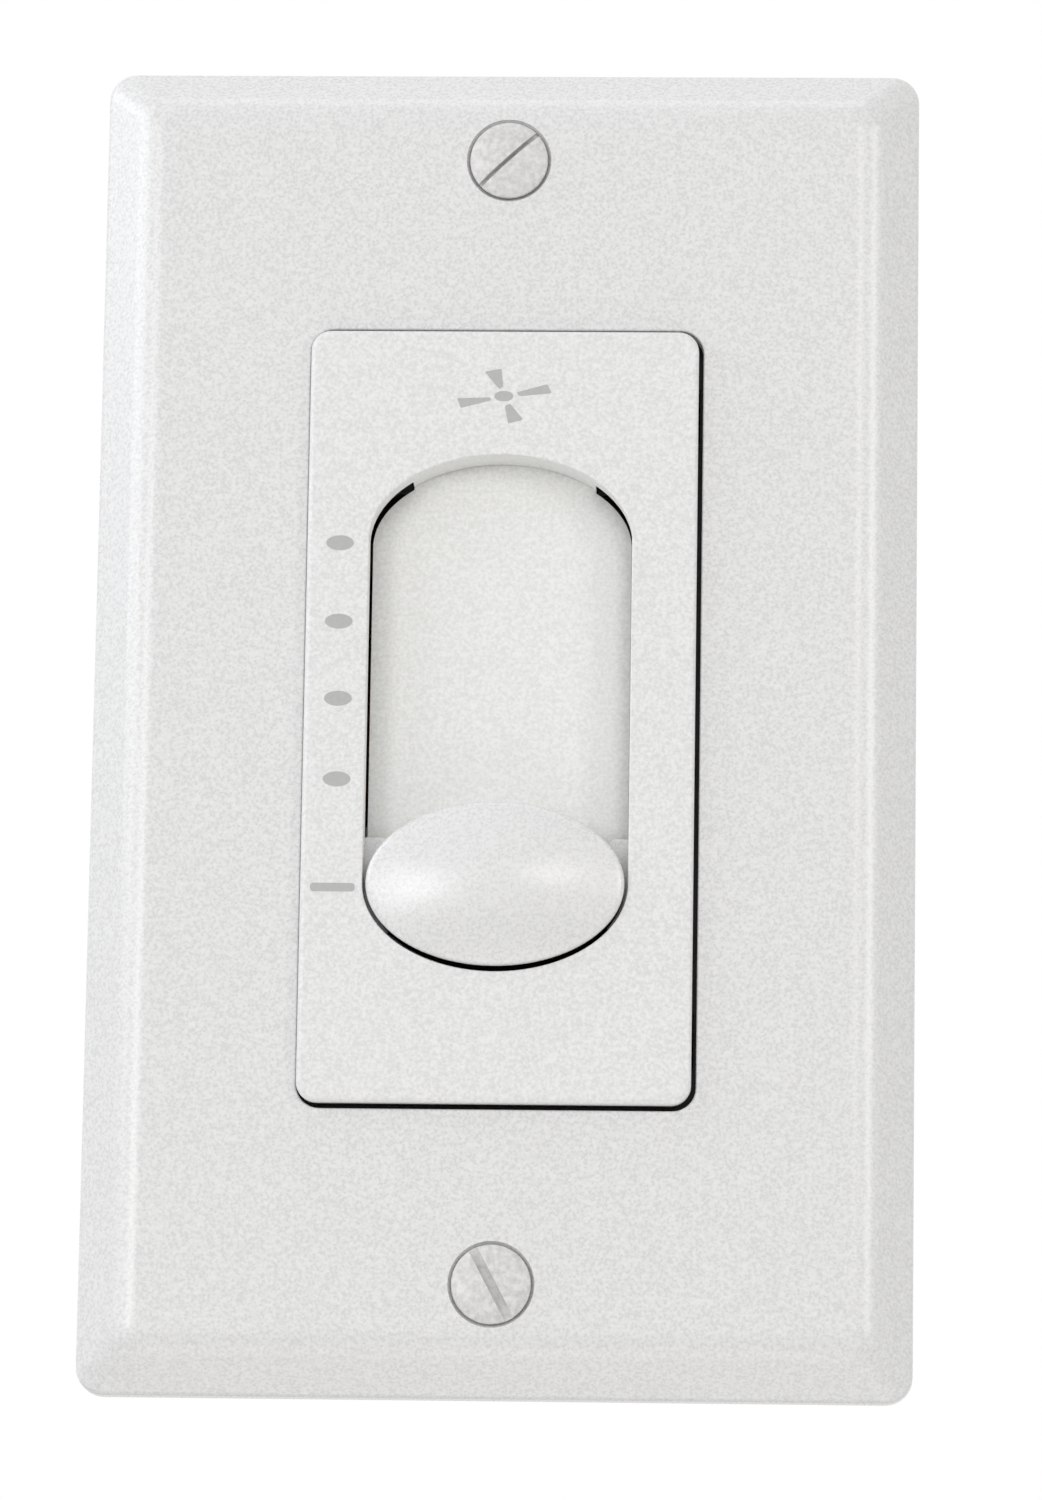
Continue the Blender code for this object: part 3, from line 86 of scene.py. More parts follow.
# %% Two helpers for every material
def linear(colour):
    """Turns an sRGB hex value such as "#E4E4E3" into linear red, green, blue and alpha."""
    parts = [int(colour[place : place + 2], 16) / 255 for place in (1, 3, 5)]
    curve = [p / 12.92 if p <= 0.04045 else ((p + 0.055) / 1.055) ** 2.4 for p in parts]
    return curve + [1.0]


def add_node(tree, kind, sockets, stops=(), **settings):
    """Adds a node; a socket gets a value, or a link where an output socket is given.

    A colour ramp also gets its stops, as pairs of a position and a hex colour."""
    made = tree.nodes.new(kind)
    for name, value in settings.items():
        setattr(made, name, value)
    for number, (position, colour) in enumerate(stops):
        made.color_ramp.elements[number].position = position
        made.color_ramp.elements[number].color = linear(colour)
    for name, value in sockets.items():
        if isinstance(value, bpy.types.NodeSocket):
            tree.links.new(value, made.inputs[name])
        else:
            made.inputs[name].default_value = value
    return made


# %% [markdown]
# ## Studio
#
# The photograph has a pure white background, and light that comes from nearly everywhere.
# A white world gives that. It counts as white only for rays from the camera, from glossy
# surfaces and through clear ones, and lights everything else a little less, which leaves
# room for seven soft lamps. The strongest is a window high on the left. Two soft boxes
# beside the camera make the two bright patches on the knob, two strips further out light
# the cover's rounded breaks, and a low fill and a small top light lift its slanted ends.

# %% White world
WORLD_LIGHT = 0.645

world = bpy.data.worlds.new("white_studio")
world.use_nodes = True
sky_tree = world.node_tree
sky_tree.nodes.clear()
rays = add_node(sky_tree, "ShaderNodeLightPath", {}).outputs
seen = add_node(
    sky_tree,
    "ShaderNodeMath",
    {0: rays["Is Camera Ray"], 1: rays["Is Glossy Ray"]},
    operation="MAXIMUM",
)
seen_or_through = add_node(
    sky_tree,
    "ShaderNodeMath",
    {0: seen.outputs[0], 1: rays["Is Transmission Ray"]},
    operation="MAXIMUM",
)
strength = add_node(
    sky_tree,
    "ShaderNodeMapRange",
    {"Value": seen_or_through.outputs[0], "To Min": WORLD_LIGHT, "To Max": 1.0},
)
sky = add_node(
    sky_tree,
    "ShaderNodeBackground",
    {"Color": linear("#FFFFFF"), "Strength": strength.outputs[0]},
)
add_node(sky_tree, "ShaderNodeOutputWorld", {"Surface": sky.outputs[0]})
bpy.context.scene.world = world
bpy.context.scene.view_settings.view_transform = "Standard"
print("world lights at", WORLD_LIGHT)

# %% Soft lamps
# Each lamp: direction from the part, distance, width and height in metres, the share that
# it adds to a surface facing it, where the white world alone would add 1, and its colour.
LAMPS = {
    "left_window": ((-0.85, -0.22, 0.45), 0.45, 0.30, 0.30, 0.28, "#F2F7FF"),
    "left_soft_box": ((-0.50, -0.85, 0.06), 0.9, 0.26, 0.46, 0.125, "#FFFFFF"),
    "right_soft_box": ((0.33, -0.92, 0.26), 0.9, 0.20, 0.34, 0.065, "#FFFBF4"),
    "right_strip": ((0.74, -0.64, 0.19), 0.9, 0.20, 0.36, 0.105, "#FFFFFF"),
    "left_strip": ((-0.80, -0.56, 0.19), 0.9, 0.14, 0.14, 0.03, "#FFFFFF"),
    "low_fill": ((0.05, -0.40, -0.92), 0.5, 0.45, 0.45, 0.13, "#FFFCF8"),
    "top_rim": ((0.0, -0.10, 0.99), 0.6, 0.30, 0.30, 0.06, "#F6FAFF"),
}

for name, (direction, distance, width, height, share, colour) in LAMPS.items():
    lamp = bpy.data.lights.new(name, "AREA")
    lamp.shape = "ELLIPSE"
    lamp.size, lamp.size_y = width, height
    lamp.energy = share * pi * pi * distance * distance
    lamp.color = linear(colour)[:3]
    stand = bpy.data.objects.new(name, lamp)
    aim = Vector(direction).normalized()
    stand.location = aim * distance
    stand.rotation_euler = aim.to_track_quat("Z", "Y").to_euler()
    bpy.context.scene.collection.objects.link(stand)
    print(name, "power", round(lamp.energy, 3))

# %% [markdown]
# ## Modelling helpers
#
# Every new piece is modelled as by hand: a primitive, then edit-mode tools on faces and
# edges that are picked by place. These helpers start a piece, pick parts of it, shape what
# is picked, and finish the piece, so that the cells below read as a list of steps. They
# take millimetres. The part's front looks along -Y, so Y grows towards its back.

# %% Start a piece
def start(name, primitive, **settings):
    """Adds a primitive with nothing else selected, applies its place, and opens edit mode."""
    bpy.ops.object.select_all(action="DESELECT")
    primitive(**settings)
    made = bpy.context.object
    made.name = made.data.name = name
    bpy.ops.object.transform_apply(location=True, rotation=True, scale=True)
    bpy.ops.object.mode_set(mode="EDIT")
    return made


def around(centre, half):
    """The two limits that lie on both sides of a centre."""
    return centre - half, centre + half


def block(name, x, y, z):
    """Starts a box between three pairs of limits."""
    return start(
        name,
        bpy.ops.mesh.primitive_cube_add,
        size=1,
        location=[sum(pair) / 2 * MM for pair in (x, y, z)],
        scale=[(pair[1] - pair[0]) * MM for pair in (x, y, z)],
    )


def rod(name, radius, y, place, sides=32):
    """Starts a cylinder along Y between two depths, at a place (x, z)."""
    return start(
        name,
        bpy.ops.mesh.primitive_cylinder_add,
        vertices=sides,
        radius=radius * MM,
        depth=(y[1] - y[0]) * MM,
        location=(place[0] * MM, sum(y) / 2 * MM, place[1] * MM),
        rotation=(pi / 2, 0, 0),
    )


# %% Pick parts of a piece
FRONT, BACK = -1, 1
# An edge or a normal is straight from this share on. Places are met within the near reach,
# and limits have a little room around them.
STRAIGHT, NEAR, ROOM = 0.99, 0.01, 0.1


def pick(kind, test):
    """Selects the vertices, edges or faces of the piece in edit mode that pass a test."""
    bpy.ops.mesh.select_mode(type=kind)
    bpy.ops.mesh.select_all(action="DESELECT")
    mesh = bmesh.from_edit_mesh(bpy.context.object.data)
    found = 0
    for item in {"VERT": mesh.verts, "EDGE": mesh.edges, "FACE": mesh.faces}[kind]:
        chosen = bool(test(item))
        item.select_set(chosen)
        found += chosen
    bmesh.update_edit_mesh(bpy.context.object.data)
    return found


def pick_end(side):
    """Selects the faces that look straight to the front or to the back."""
    pick("FACE", lambda face: face.normal.y * side > STRAIGHT)


def middle(item):
    """The middle of an edge or a face."""
    points = [corner.co for corner in item.verts]
    return sum(points, Vector()) / len(points) / MM


def within(item, x, z):
    """Whether the middle of an edge or a face lies between limits, or just beyond them."""
    place = middle(item)
    across = x[0] - ROOM < place.x < x[1] + ROOM
    return across and z[0] - ROOM < place.z < z[1] + ROOM


def along(edge, axis):
    """Whether an edge runs along one axis."""
    run = edge.verts[1].co - edge.verts[0].co
    return abs(run[axis]) > STRAIGHT * run.length


def at_depth(edge, y):
    """Whether both ends of an edge lie at one depth."""
    return all(abs(corner.co.y / MM - y) < NEAR for corner in edge.verts)


# %% Shape what is picked
def round_edges(radius, segments):
    """Rounds the picked edges."""
    bpy.ops.mesh.bevel(offset=radius * MM, segments=segments, affect="EDGES")


def round_corners(radius, segments=8):
    """Rounds the edges that run from front to back."""
    pick("EDGE", lambda edge: along(edge, 1))
    round_edges(radius, segments)


def round_outline(y, radius, segments):
    """Rounds the edges that lie at one depth."""
    pick("EDGE", lambda edge: at_depth(edge, y))
    round_edges(radius, segments)


def draw_out(y):
    """Extrudes the picked faces along Y."""
    bpy.ops.mesh.extrude_region_move(TRANSFORM_OT_translate={"value": (0, y * MM, 0)})


def taper(place, across, upright):
    """Scales what is picked across and upright, about a place (x, z)."""
    centre = Vector((place[0], 0, place[1])) * MM
    bpy.ops.transform.resize(value=(across, 1, upright), center_override=centre)


def draw_rings(place, first, rings):
    """Draws the picked face out through rings of (size, depth), starting from the first."""
    size_now, y_now = first
    for size, y in rings:
        draw_out(y - y_now)
        taper(place, size / size_now, size / size_now)
        size_now, y_now = size, y


# %% Finish a piece
def select_only(piece):
    """Leaves edit mode, and makes one piece the only selected one and the active one."""
    bpy.ops.object.mode_set(mode="OBJECT")
    bpy.ops.object.select_all(action="DESELECT")
    piece.select_set(True)
    bpy.context.view_layer.objects.active = piece


def reopen(piece):
    """Takes a piece back into edit mode."""
    select_only(piece)
    bpy.ops.object.mode_set(mode="EDIT")


def apply_modifier(piece, kind, **settings):
    """Adds a modifier with its settings and applies it."""
    select_only(piece)
    step = piece.modifiers.new(kind.lower(), kind)
    for name, value in settings.items():
        setattr(step, name, value)
    bpy.ops.object.modifier_apply(modifier=step.name)


def cut(piece, cutter, operation="DIFFERENCE"):
    """Cuts a piece with another one, or joins the two, and removes the second."""
    apply_modifier(piece, "BOOLEAN", object=cutter, operation=operation, solver="EXACT")
    bpy.data.objects.remove(cutter)


def smooth(piece, angle=35):
    """Smooth shading across soft edges, with flat faces kept flat."""
    select_only(piece)
    bpy.ops.object.shade_smooth_by_angle(angle=radians(angle))
    apply_modifier(piece, "WEIGHTED_NORMAL", keep_sharp=True, weight=80)
    print(piece.name, "faces:", len(piece.data.polygons))


def coat(piece, main, other, test):
    """Gives a piece in edit mode one finish, and another on the faces that pass a test."""
    piece.data.materials.append(main)
    piece.data.materials.append(other)
    found = pick("FACE", test)
    piece.active_material_index = 1
    bpy.ops.object.material_slot_assign()
    return found


def copy_to(model, name, place, turn=0):
    """Copies a piece and its mesh to a place, turned about the vertical by degrees."""
    made = model.copy()
    made.data = model.data.copy()
    made.name = made.data.name = name
    bpy.context.scene.collection.objects.link(made)
    made.location = Vector(place) * MM
    made.rotation_euler = (0, 0, radians(turn))
    select_only(made)
    bpy.ops.object.transform_apply(location=True, rotation=True, scale=True)
    return made


# %% [markdown]
# ## Moulded white plastic
#
# The cover, the insert and the knob are injection-moulded white thermoplastic from a
# softly blasted mould. Close up its white is faintly mottled, its gloss is low, and a
# grain of about 0.3 mm breaks up the reflections. A noise at that size drives the colour,
# the roughness and a very shallow bump.

# %% Moulded plastics
# The noise values at which the darker and the lighter tone are reached.
DARK_AT, LIGHT_AT = 0.35, 0.65
PLASTIC_SPREAD = 0.05


def per_mm(size):
    """The noise scale whose features are this many millimetres wide."""
    return 1 / (size * MM)


def empty_material(name):
    """A new material, its cleared node tree, and a socket that gives places on the piece."""
    made = bpy.data.materials.new(name)
    made.use_nodes = True
    made.node_tree.nodes.clear()
    place = add_node(made.node_tree, "ShaderNodeTexCoord", {}).outputs["Object"]
    return made, made.node_tree, place


def moulded_plastic(name, dark, light, roughness, grain, height, shine=0.5):
    """A moulded plastic whose colour, roughness and bump follow one grain size in mm."""
    made, tree, place = empty_material(name)
    fine = add_node(
        tree,
        "ShaderNodeTexNoise",
        {"Vector": place, "Scale": per_mm(grain), "Detail": 3.0, "Roughness": 0.6},
    ).outputs["Fac"]
    tone = add_node(
        tree, "ShaderNodeValToRGB", {"Fac": fine}, stops=((DARK_AT, dark), (LIGHT_AT, light))
    )
    gloss = add_node(
        tree,
        "ShaderNodeMapRange",
        {
            "Value": fine,
            "To Min": roughness - PLASTIC_SPREAD,
            "To Max": roughness + PLASTIC_SPREAD,
        },
    )
    bump = add_node(
        tree, "ShaderNodeBump", {"Height": fine, "Strength": 0.5, "Distance": height * MM}
    )
    shader = add_node(
        tree,
        "ShaderNodeBsdfPrincipled",
        {
            "Base Color": tone.outputs["Color"],
            "Roughness": gloss.outputs["Result"],
            "Specular IOR Level": shine,
            "Normal": bump.outputs["Normal"],
        },
    )
    add_node(tree, "ShaderNodeOutputMaterial", {"Surface": shader.outputs[0]})
    return made


# Satin white thermoplastic: bright, nearly neutral, with soft broad reflections.
cover_plastic = moulded_plastic(
    "satin_white_cover", "#D6D6D5", "#E9E9E8", 0.28, 0.3, 0.006, shine=0.8
)
insert_plastic = moulded_plastic(
    "satin_white_insert", "#DBDBDA", "#EEEEED", 0.34, 0.3, 0.006
)
# The knob is touched daily, so it is smoother, and shows the lamps as two clear patches.
knob_plastic = moulded_plastic(
    "smooth_white_knob", "#D9D9D8", "#E9E9E8", 0.28, 0.3, 0.003, shine=1.0
)
# The slot's recess, its floor and walls, is painted a shade whiter than the insert: painted
# light that lifts the shade in the recess.
track_painted_light = moulded_plastic(
    "white_track_painted_light", "#E2E2E0", "#F2F2F0", 0.36, 0.3, 0.006
)
# The knob's stem, except its upper side, is painted black: a painted shade that keeps the gap
# below the cap dark.
stem_painted_shade = moulded_plastic(
    "black_stem_painted_shade", "#060607", "#0A0A0B", 0.8, 0.5, 0.01, shine=0.05
)
print("plastics:", cover_plastic.name, insert_plastic.name, knob_plastic.name)

# %% [markdown]
# ## Cover plate
#
# The cover is a thin shell: a short straight rim, a slanted edge, a flat face with a
# rounded break, and a hollow back. It could be lofted between two outlines, but a cube
# that is drawn out step by step keeps every edge easy to pick. It is given rounded
# corners, its front is drawn out and pulled in to make the slant, and its back is inset
# and pushed in to make the hollow. The opening and the two screws' seats are cut last.

# %% Cover plate: rim, slant and face
PLATE_X, PLATE_Z = 0.12, -0.10
PLATE_HALF = (34.925, 57.15)
RIM_DEPTH, FACE_DEPTH, ROOF_DEPTH = 2.0, 5.8, 3.8
RIM_CORNER, FACE_CORNER = 2.3, 2.0
SLANT = 3.9
CORNERS = ((1, 1), (-1, 1), (-1, -1), (1, -1))

cover = block(
    "cover_plate",
    around(PLATE_X, PLATE_HALF[0]),
    (-RIM_DEPTH, 0),
    around(PLATE_Z, PLATE_HALF[1]),
)
round_corners(RIM_CORNER)
pick_end(FRONT)
draw_out(RIM_DEPTH - FACE_DEPTH)
shrink = FACE_CORNER / RIM_CORNER
inward = (SLANT + FACE_CORNER - RIM_CORNER) * MM
for side, end in CORNERS:
    pick(
        "VERT",
        lambda point: point.co.y < (NEAR - FACE_DEPTH) * MM
        and (point.co.x - PLATE_X * MM) * side > 0
        and (point.co.z - PLATE_Z * MM) * end > 0,
    )
    corner_x = PLATE_X + side * (PLATE_HALF[0] - RIM_CORNER)
    corner_z = PLATE_Z + end * (PLATE_HALF[1] - RIM_CORNER)
    taper((corner_x, corner_z), shrink, shrink)
    bpy.ops.transform.translate(value=(-side * inward, 0, -end * inward))
print("cover plate faces:", len(bmesh.from_edit_mesh(cover.data).faces))

# %% Cover plate: soft breaks and hollow back
BREAK, RIM_ROUND = 1.55, 0.4
WALL, RIM_HOLLOW, ROOF_INSET = 2.0, 1.16, 4.71

round_outline(-FACE_DEPTH, BREAK, segments=10)
round_outline(-RIM_DEPTH, RIM_ROUND, segments=6)
pick_end(BACK)
bpy.ops.mesh.inset(thickness=WALL * MM)
draw_out(-RIM_HOLLOW)
draw_out(RIM_HOLLOW - ROOF_DEPTH)
roof = [(half - ROOF_INSET) / (half - WALL) for half in PLATE_HALF]
taper((PLATE_X, PLATE_Z), roof[0], roof[1])
bpy.ops.object.mode_set(mode="OBJECT")
print("cover plate faces:", len(cover.data.polygons))

# %% Cover plate: opening and screw seats
OPENING_HALF = (16.69, 33.46)
OPENING_Z = -0.01
OPENING_CORNER, OPENING_EDGE = 1.96, 0.2
# The depths between which a cutter goes right through.
THROUGH = (-10, 2)
SCREW_Z, LOW_SCREW_LIFT = 48.42, 0.3
SCREW_PLACES = (SCREW_Z, LOW_SCREW_LIFT - SCREW_Z)
SEAT_RADIUS, SEAT_FLOOR = 3.62, -5.58
HOLE_RADIUS, HOLE_LENGTH = 1.95, 6.0

opening_x = around(PLATE_X, OPENING_HALF[0])
opening_z = around(OPENING_Z, OPENING_HALF[1])
opening = block("opening_cutter", opening_x, THROUGH, opening_z)
round_corners(OPENING_CORNER)
cut(cover, opening)
cone = SEAT_RADIUS - HOLE_RADIUS
hole_rings = ((HOLE_RADIUS, cone), (HOLE_RADIUS, cone + HOLE_LENGTH))
for z in SCREW_PLACES:
    seat = rod("seat_cutter", SEAT_RADIUS, (THROUGH[0], SEAT_FLOOR), (0, z), sides=64)
    pick_end(BACK)
    draw_rings((0, z), (SEAT_RADIUS, 0), hole_rings)
    cut(cover, seat)

reopen(cover)
opening_edges = pick(
    "EDGE",
    lambda edge: at_depth(edge, -FACE_DEPTH) and within(edge, opening_x, opening_z),
)
round_edges(OPENING_EDGE, segments=3)
smooth(cover)
print("opening edges:", opening_edges)
cover.data.materials.append(cover_plastic)
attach(cover, "root")
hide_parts("wallplate")

# %% [markdown]
# ## Front insert
#
# The insert fills the cover's opening and stands 1 mm proud of it. Its rounded slot has a
# floor that bulges forward a little, with a thin dark slit along both sides where the
# knob's legs pass through. Its sides step in behind the front, which is what makes the
# line between insert and cover so dark. The slot is cut with a stretched cylinder whose
# inner end is inset in steps, so that the floor comes out crowned.

# %% Front insert: body
INSERT_HALF = (16.485, 33.125)
INSERT_X, INSERT_Z = -0.055, 0.055
INSERT_FRONT, INSERT_BACK = 6.8, 1.8
INSERT_CORNER, INSERT_EDGE = 1.7, 0.45
LIP, STEP_IN = 1.0, 0.5

insert = block(
    "front_insert",
    around(INSERT_X, INSERT_HALF[0]),
    (-INSERT_FRONT, LIP - INSERT_FRONT),
    around(INSERT_Z, INSERT_HALF[1]),
)
round_corners(INSERT_CORNER)
round_outline(-INSERT_FRONT, INSERT_EDGE, segments=5)
pick_end(BACK)
bpy.ops.mesh.inset(thickness=STEP_IN * MM)
draw_out(INSERT_FRONT - LIP - INSERT_BACK)
bpy.ops.object.mode_set(mode="OBJECT")
print("insert faces:", len(insert.data.polygons))

# %% Front insert: slot with a crowned floor
SLOT_X, SLOT_HALF_WIDTH = -0.17, 11.13
SLOT_Z, SLOT_END = 0.2, 7.4
TRAVEL = 29.5
FLOOR_EDGE, FLOOR_CROWN, FLOOR_ROLL = 2.95, 3.4, 4.8
FLOOR_STEPS = 8
OVAL_SIDES = 96


def oval_cylinder(name, half, y, place, turn=0.0):
    """Starts an oval cylinder along Y between two depths, at a place (x, z)."""
    centre = Vector((place[0], sum(y) / 2, place[1])) * MM
    made = start(
        name,
        bpy.ops.mesh.primitive_cylinder_add,
        vertices=OVAL_SIDES,
        radius=1,
        depth=1,
        location=centre,
        rotation=(pi / 2, turn, 0),
    )
    bpy.ops.mesh.select_all(action="SELECT")
    size = Vector((half[0], y[1] - y[0], half[1])) * MM
    bpy.ops.transform.resize(value=size, center_override=centre)
    return made


def stretched_cylinder(name, half, straight, y):
    """An oval cylinder at the slot, whose upper and lower halves are drawn apart."""
    made = oval_cylinder(name, half, y, (SLOT_X, SLOT_Z), turn=pi / OVAL_SIDES)
    for end in (-1, 1):
        pick("VERT", lambda point: (point.co.z - SLOT_Z * MM) * end > 0)
        bpy.ops.transform.translate(value=(0, 0, end * straight / 2 * MM))
    return made


slot_half = (SLOT_HALF_WIDTH, SLOT_END)
slot_cutter = stretched_cylinder("slot_cutter", slot_half, TRAVEL, (THROUGH[0], -FLOOR_EDGE))
pick_end(BACK)
in_now, rise_now = 0.0, 0.0
for step in range(1, FLOOR_STEPS + 1):
    turn = step / FLOOR_STEPS * pi / 2
    inset, rise = FLOOR_ROLL * (1 - cos(turn)), (FLOOR_CROWN - FLOOR_EDGE) * sin(turn)
    bpy.ops.mesh.inset(thickness=(inset - in_now) * MM, depth=(rise_now - rise) * MM)
    in_now, rise_now = inset, rise
cut(insert, slot_cutter)
print("insert faces:", len(insert.data.polygons))

# %% Front insert: side slits and rounded slot edge
CHANNEL_ACROSS, CHANNEL_HALF = (7.75, 11.9), 20.9
CHANNEL_DEPTHS = (-4.8, 1)
SLIT, SLIT_END = 0.13, 0.5
SLOT_EDGE = 0.16
RECESS_FRONT, RECESS_BACK = -6.4, -2.5

# The island is the slot's floor, which is left standing between the two channels.
island_half = (SLOT_HALF_WIDTH - SLIT, SLOT_END - SLIT_END)
for side in (-1, 1):
    across = sorted(side * x for x in CHANNEL_ACROSS)
    channel = block("channel_cutter", across, CHANNEL_DEPTHS, around(SLOT_Z, CHANNEL_HALF))
    bpy.ops.object.mode_set(mode="OBJECT")
    cut(channel, stretched_cylinder("island", island_half, TRAVEL + 2 * SLIT, THROUGH))
    cut(insert, channel)


def in_slot(item):
    """Whether an edge or a face lies within the slot's width and height."""
    height = around(SLOT_Z, TRAVEL / 2 + SLOT_END)
    return within(item, around(SLOT_X, SLOT_HALF_WIDTH), height)


reopen(insert)
slot_edges = pick("EDGE", lambda edge: at_depth(edge, -INSERT_FRONT) and in_slot(edge))
round_edges(SLOT_EDGE, segments=3)
# The recess faces take the whiter tone, a painted light against the shade in the recess.
recess = coat(
    insert,
    insert_plastic,
    track_painted_light,
    lambda face: in_slot(face) and RECESS_FRONT < middle(face).y < RECESS_BACK,
)
smooth(insert)
print("slot edges:", slot_edges, "recess faces:", recess)
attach(insert, "root")
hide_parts("bezel")

# %% [markdown]
# ## Knob
#
# The knob is an oval button with a gently domed top, a short straight edge and sides that
# draw in below it. An oval cylinder is made, its front is drawn out ring by ring into the
# dome, and its back is drawn in. Two legs under its cheeks pass through the slits.

# %% Knob: edge and dome
KNOB_PLACE, KNOB_HALF = (-0.17, -14.53), (10.86, 6.98)
KNOB_EDGE, KNOB_LAND, KNOB_UNDER = -7.2, 0.5, -3.5
KNOB_RIM = 0.35
DOME_HEIGHT, DOME_CURVE, DOME_RINGS = 2.14, 1.75, 14
# A dome stops half a ring short of its pole, so that the last face has a size.
POLE_GAP = 0.5
STEM_FRONT = KNOB_EDGE + KNOB_LAND
STEM_STEP, STEM_SHARE = 0.1, 0.99
# The stem is painted black as shade, except where its normal points up by more than this.
STEM_UP = 0.2

knob = oval_cylinder("slide_knob", KNOB_HALF, (KNOB_EDGE, STEM_FRONT), KNOB_PLACE)
pick_end(FRONT)
dome = [1 - ring / (DOME_RINGS + POLE_GAP) for ring in range(1, DOME_RINGS + 1)]
dome_rings = [(size, -DOME_HEIGHT * (1 - size**DOME_CURVE)) for size in dome]
draw_rings(KNOB_PLACE, (1, 0), dome_rings)
pick_end(BACK)
stem_rings = ((STEM_SHARE, STEM_STEP), (STEM_SHARE, KNOB_UNDER - STEM_FRONT))
draw_rings(KNOB_PLACE, (1, 0), stem_rings)
round_outline(KNOB_EDGE, KNOB_RIM, segments=4)
# The stem's faces behind the cap that don't point up are painted black as shade.
stem = coat(
    knob,
    knob_plastic,
    stem_painted_shade,
    lambda face: middle(face).y > STEM_FRONT + NEAR and face.normal.z < STEM_UP,
)
bpy.ops.object.mode_set(mode="OBJECT")
print("knob faces:", len(knob.data.polygons), "stem faces:", stem)

# %% Knob: cheeks and legs
# Each bar: its inner and outer side, its front and back, and half its height.
CHEEK = ((9.2, 11.75), (-4.5, -3.75), 4.3)
LEG = ((11.25, 11.75), (-4.4, 6.0), 4.0)
# The upper corners' rounding is a share of the bar's width.
BAR_CORNER, BAR_EDGE = 0.25, 0.15

for side in (-1, 1):
    for reach, depths, half_height in (CHEEK, LEG):
        across = sorted(side * x for x in reach)
        bar = block("knob_bar", across, depths, around(KNOB_PLACE[1], half_height))
        pick("EDGE", lambda edge: along(edge, 1) and middle(edge).z > KNOB_PLACE[1])
        round_edges(BAR_CORNER * (reach[1] - reach[0]), segments=4)
        round_outline(depths[0], BAR_EDGE, segments=2)
        cut(knob, bar, "UNION")
smooth(knob)
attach(knob, "slider")
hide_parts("knob")

# %% [markdown]
# ## Metals
#
# The strap and the inner screws are zinc-plated steel, the contacts and terminals brass,
# and the earthing screw is dyed green. Plating is never even: a cloudy noise shifts the
# colour between two close tones and the roughness with it, and a finer one gives the
# pressed sheet its faint texture.

# %% Plated metals
METAL_SPREAD = 0.1
METAL_BUMP = 0.01
# The black that is painted on the strap's front as shade.
SHADE_BLACK = "#0B0B0C"


def plated_metal(name, dark, light, roughness, cloud, grain, shade_y=None):
    """A metal whose tone and roughness drift over clouds, with a finer grain, in mm.

    Surfaces in front of the depth given last, if any, are painted black as shade, and are not
    metal."""
    made, tree, place = empty_material(name)
    clouds = add_node(
        tree, "ShaderNodeTexNoise", {"Vector": place, "Scale": per_mm(cloud), "Detail": 4.0}
    ).outputs["Fac"]
    fine = add_node(
        tree, "ShaderNodeTexNoise", {"Vector": place, "Scale": per_mm(grain), "Detail": 2.0}
    ).outputs["Fac"]
    tone = add_node(
        tree, "ShaderNodeValToRGB", {"Fac": clouds}, stops=((DARK_AT, dark), (LIGHT_AT, light))
    )
    gloss = add_node(
        tree,
        "ShaderNodeMapRange",
        {
            "Value": clouds,
            "To Min": roughness + METAL_SPREAD,
            "To Max": roughness - METAL_SPREAD,
        },
    )
    bump = add_node(
        tree, "ShaderNodeBump", {"Height": fine, "Strength": 0.3, "Distance": METAL_BUMP * MM}
    )
    shader = add_node(
        tree,
        "ShaderNodeBsdfPrincipled",
        {
            "Base Color": tone.outputs["Color"],
            "Metallic": 1.0,
            "Roughness": gloss.outputs["Result"],
            "Normal": bump.outputs["Normal"],
        },
    )
    add_node(tree, "ShaderNodeOutputMaterial", {"Surface": shader.outputs[0]})
    # Painted shade: faces in front of the given depth are black and not metal.
    if shade_y is not None:
        depth = add_node(tree, "ShaderNodeSeparateXYZ", {"Vector": place}).outputs["Y"]
        bare = add_node(
            tree, "ShaderNodeMath", {0: depth, 1: shade_y * MM}, operation="GREATER_THAN"
        )
        paint = add_node(
            tree,
            "ShaderNodeMix",
            {0: bare.outputs[0], 6: linear(SHADE_BLACK), 7: tone.outputs["Color"]},
            data_type="RGBA",
        )
        tree.links.new(paint.outputs[2], shader.inputs["Base Color"])
        tree.links.new(bare.outputs[0], shader.inputs["Metallic"])
    return made


# Bright zinc plate: blue-white grey with cloudy patches where the bath left it duller.
zinc_plate = plated_metal("zinc_plated_steel", "#B2B5B9", "#C6C9CC", 0.34, 5.0, 0.3)
# The strap's front is painted black: a painted shade that makes the joint round the insert
# dark.
strap_zinc_painted_shade = plated_metal(
    "zinc_strap_painted_shade", "#B2B5B9", "#C6C9CC", 0.34, 5.0, 0.3, shade_y=-1.4
)
# Rolled brass: warm yellow, a little browner where it has been handled.
rolled_brass = plated_metal("rolled_brass", "#B98F45", "#D9B566", 0.30, 2.5, 0.25)
# Green chromate dye over zinc marks the earthing screw.
green_zinc = plated_metal("green_dyed_zinc", "#2E6B3F", "#4A8F5B", 0.34, 1.5, 0.25)
print("metals:", zinc_plate.name, rolled_brass.name, green_zinc.name)

# %% [markdown]
# ## Cover screws
#
# Two slotted oval-head screws, painted white, hold the cover to the strap. The head is
# turned: a cylinder for the shank is drawn out ring by ring into the cone, a thin rim and
# the low dome. The thread is a real helix: a small triangle swept by the Screw modifier
# and joined to the shank. One screw is modelled and copied, and each copy gets its slot
# at the angle it stopped at.

# %% A turned screw with a helical thread
THREAD_MINOR, THREAD_MAJOR, PITCH = 1.3, 1.63, 0.794
# Half a tooth's width as a share of the pitch, and how deep its root sinks into the shank.
HALF_TOOTH, ROOT_SINK = 0.42, 0.12
THREAD_STEPS = 20
TIP_ROUND = 0.3


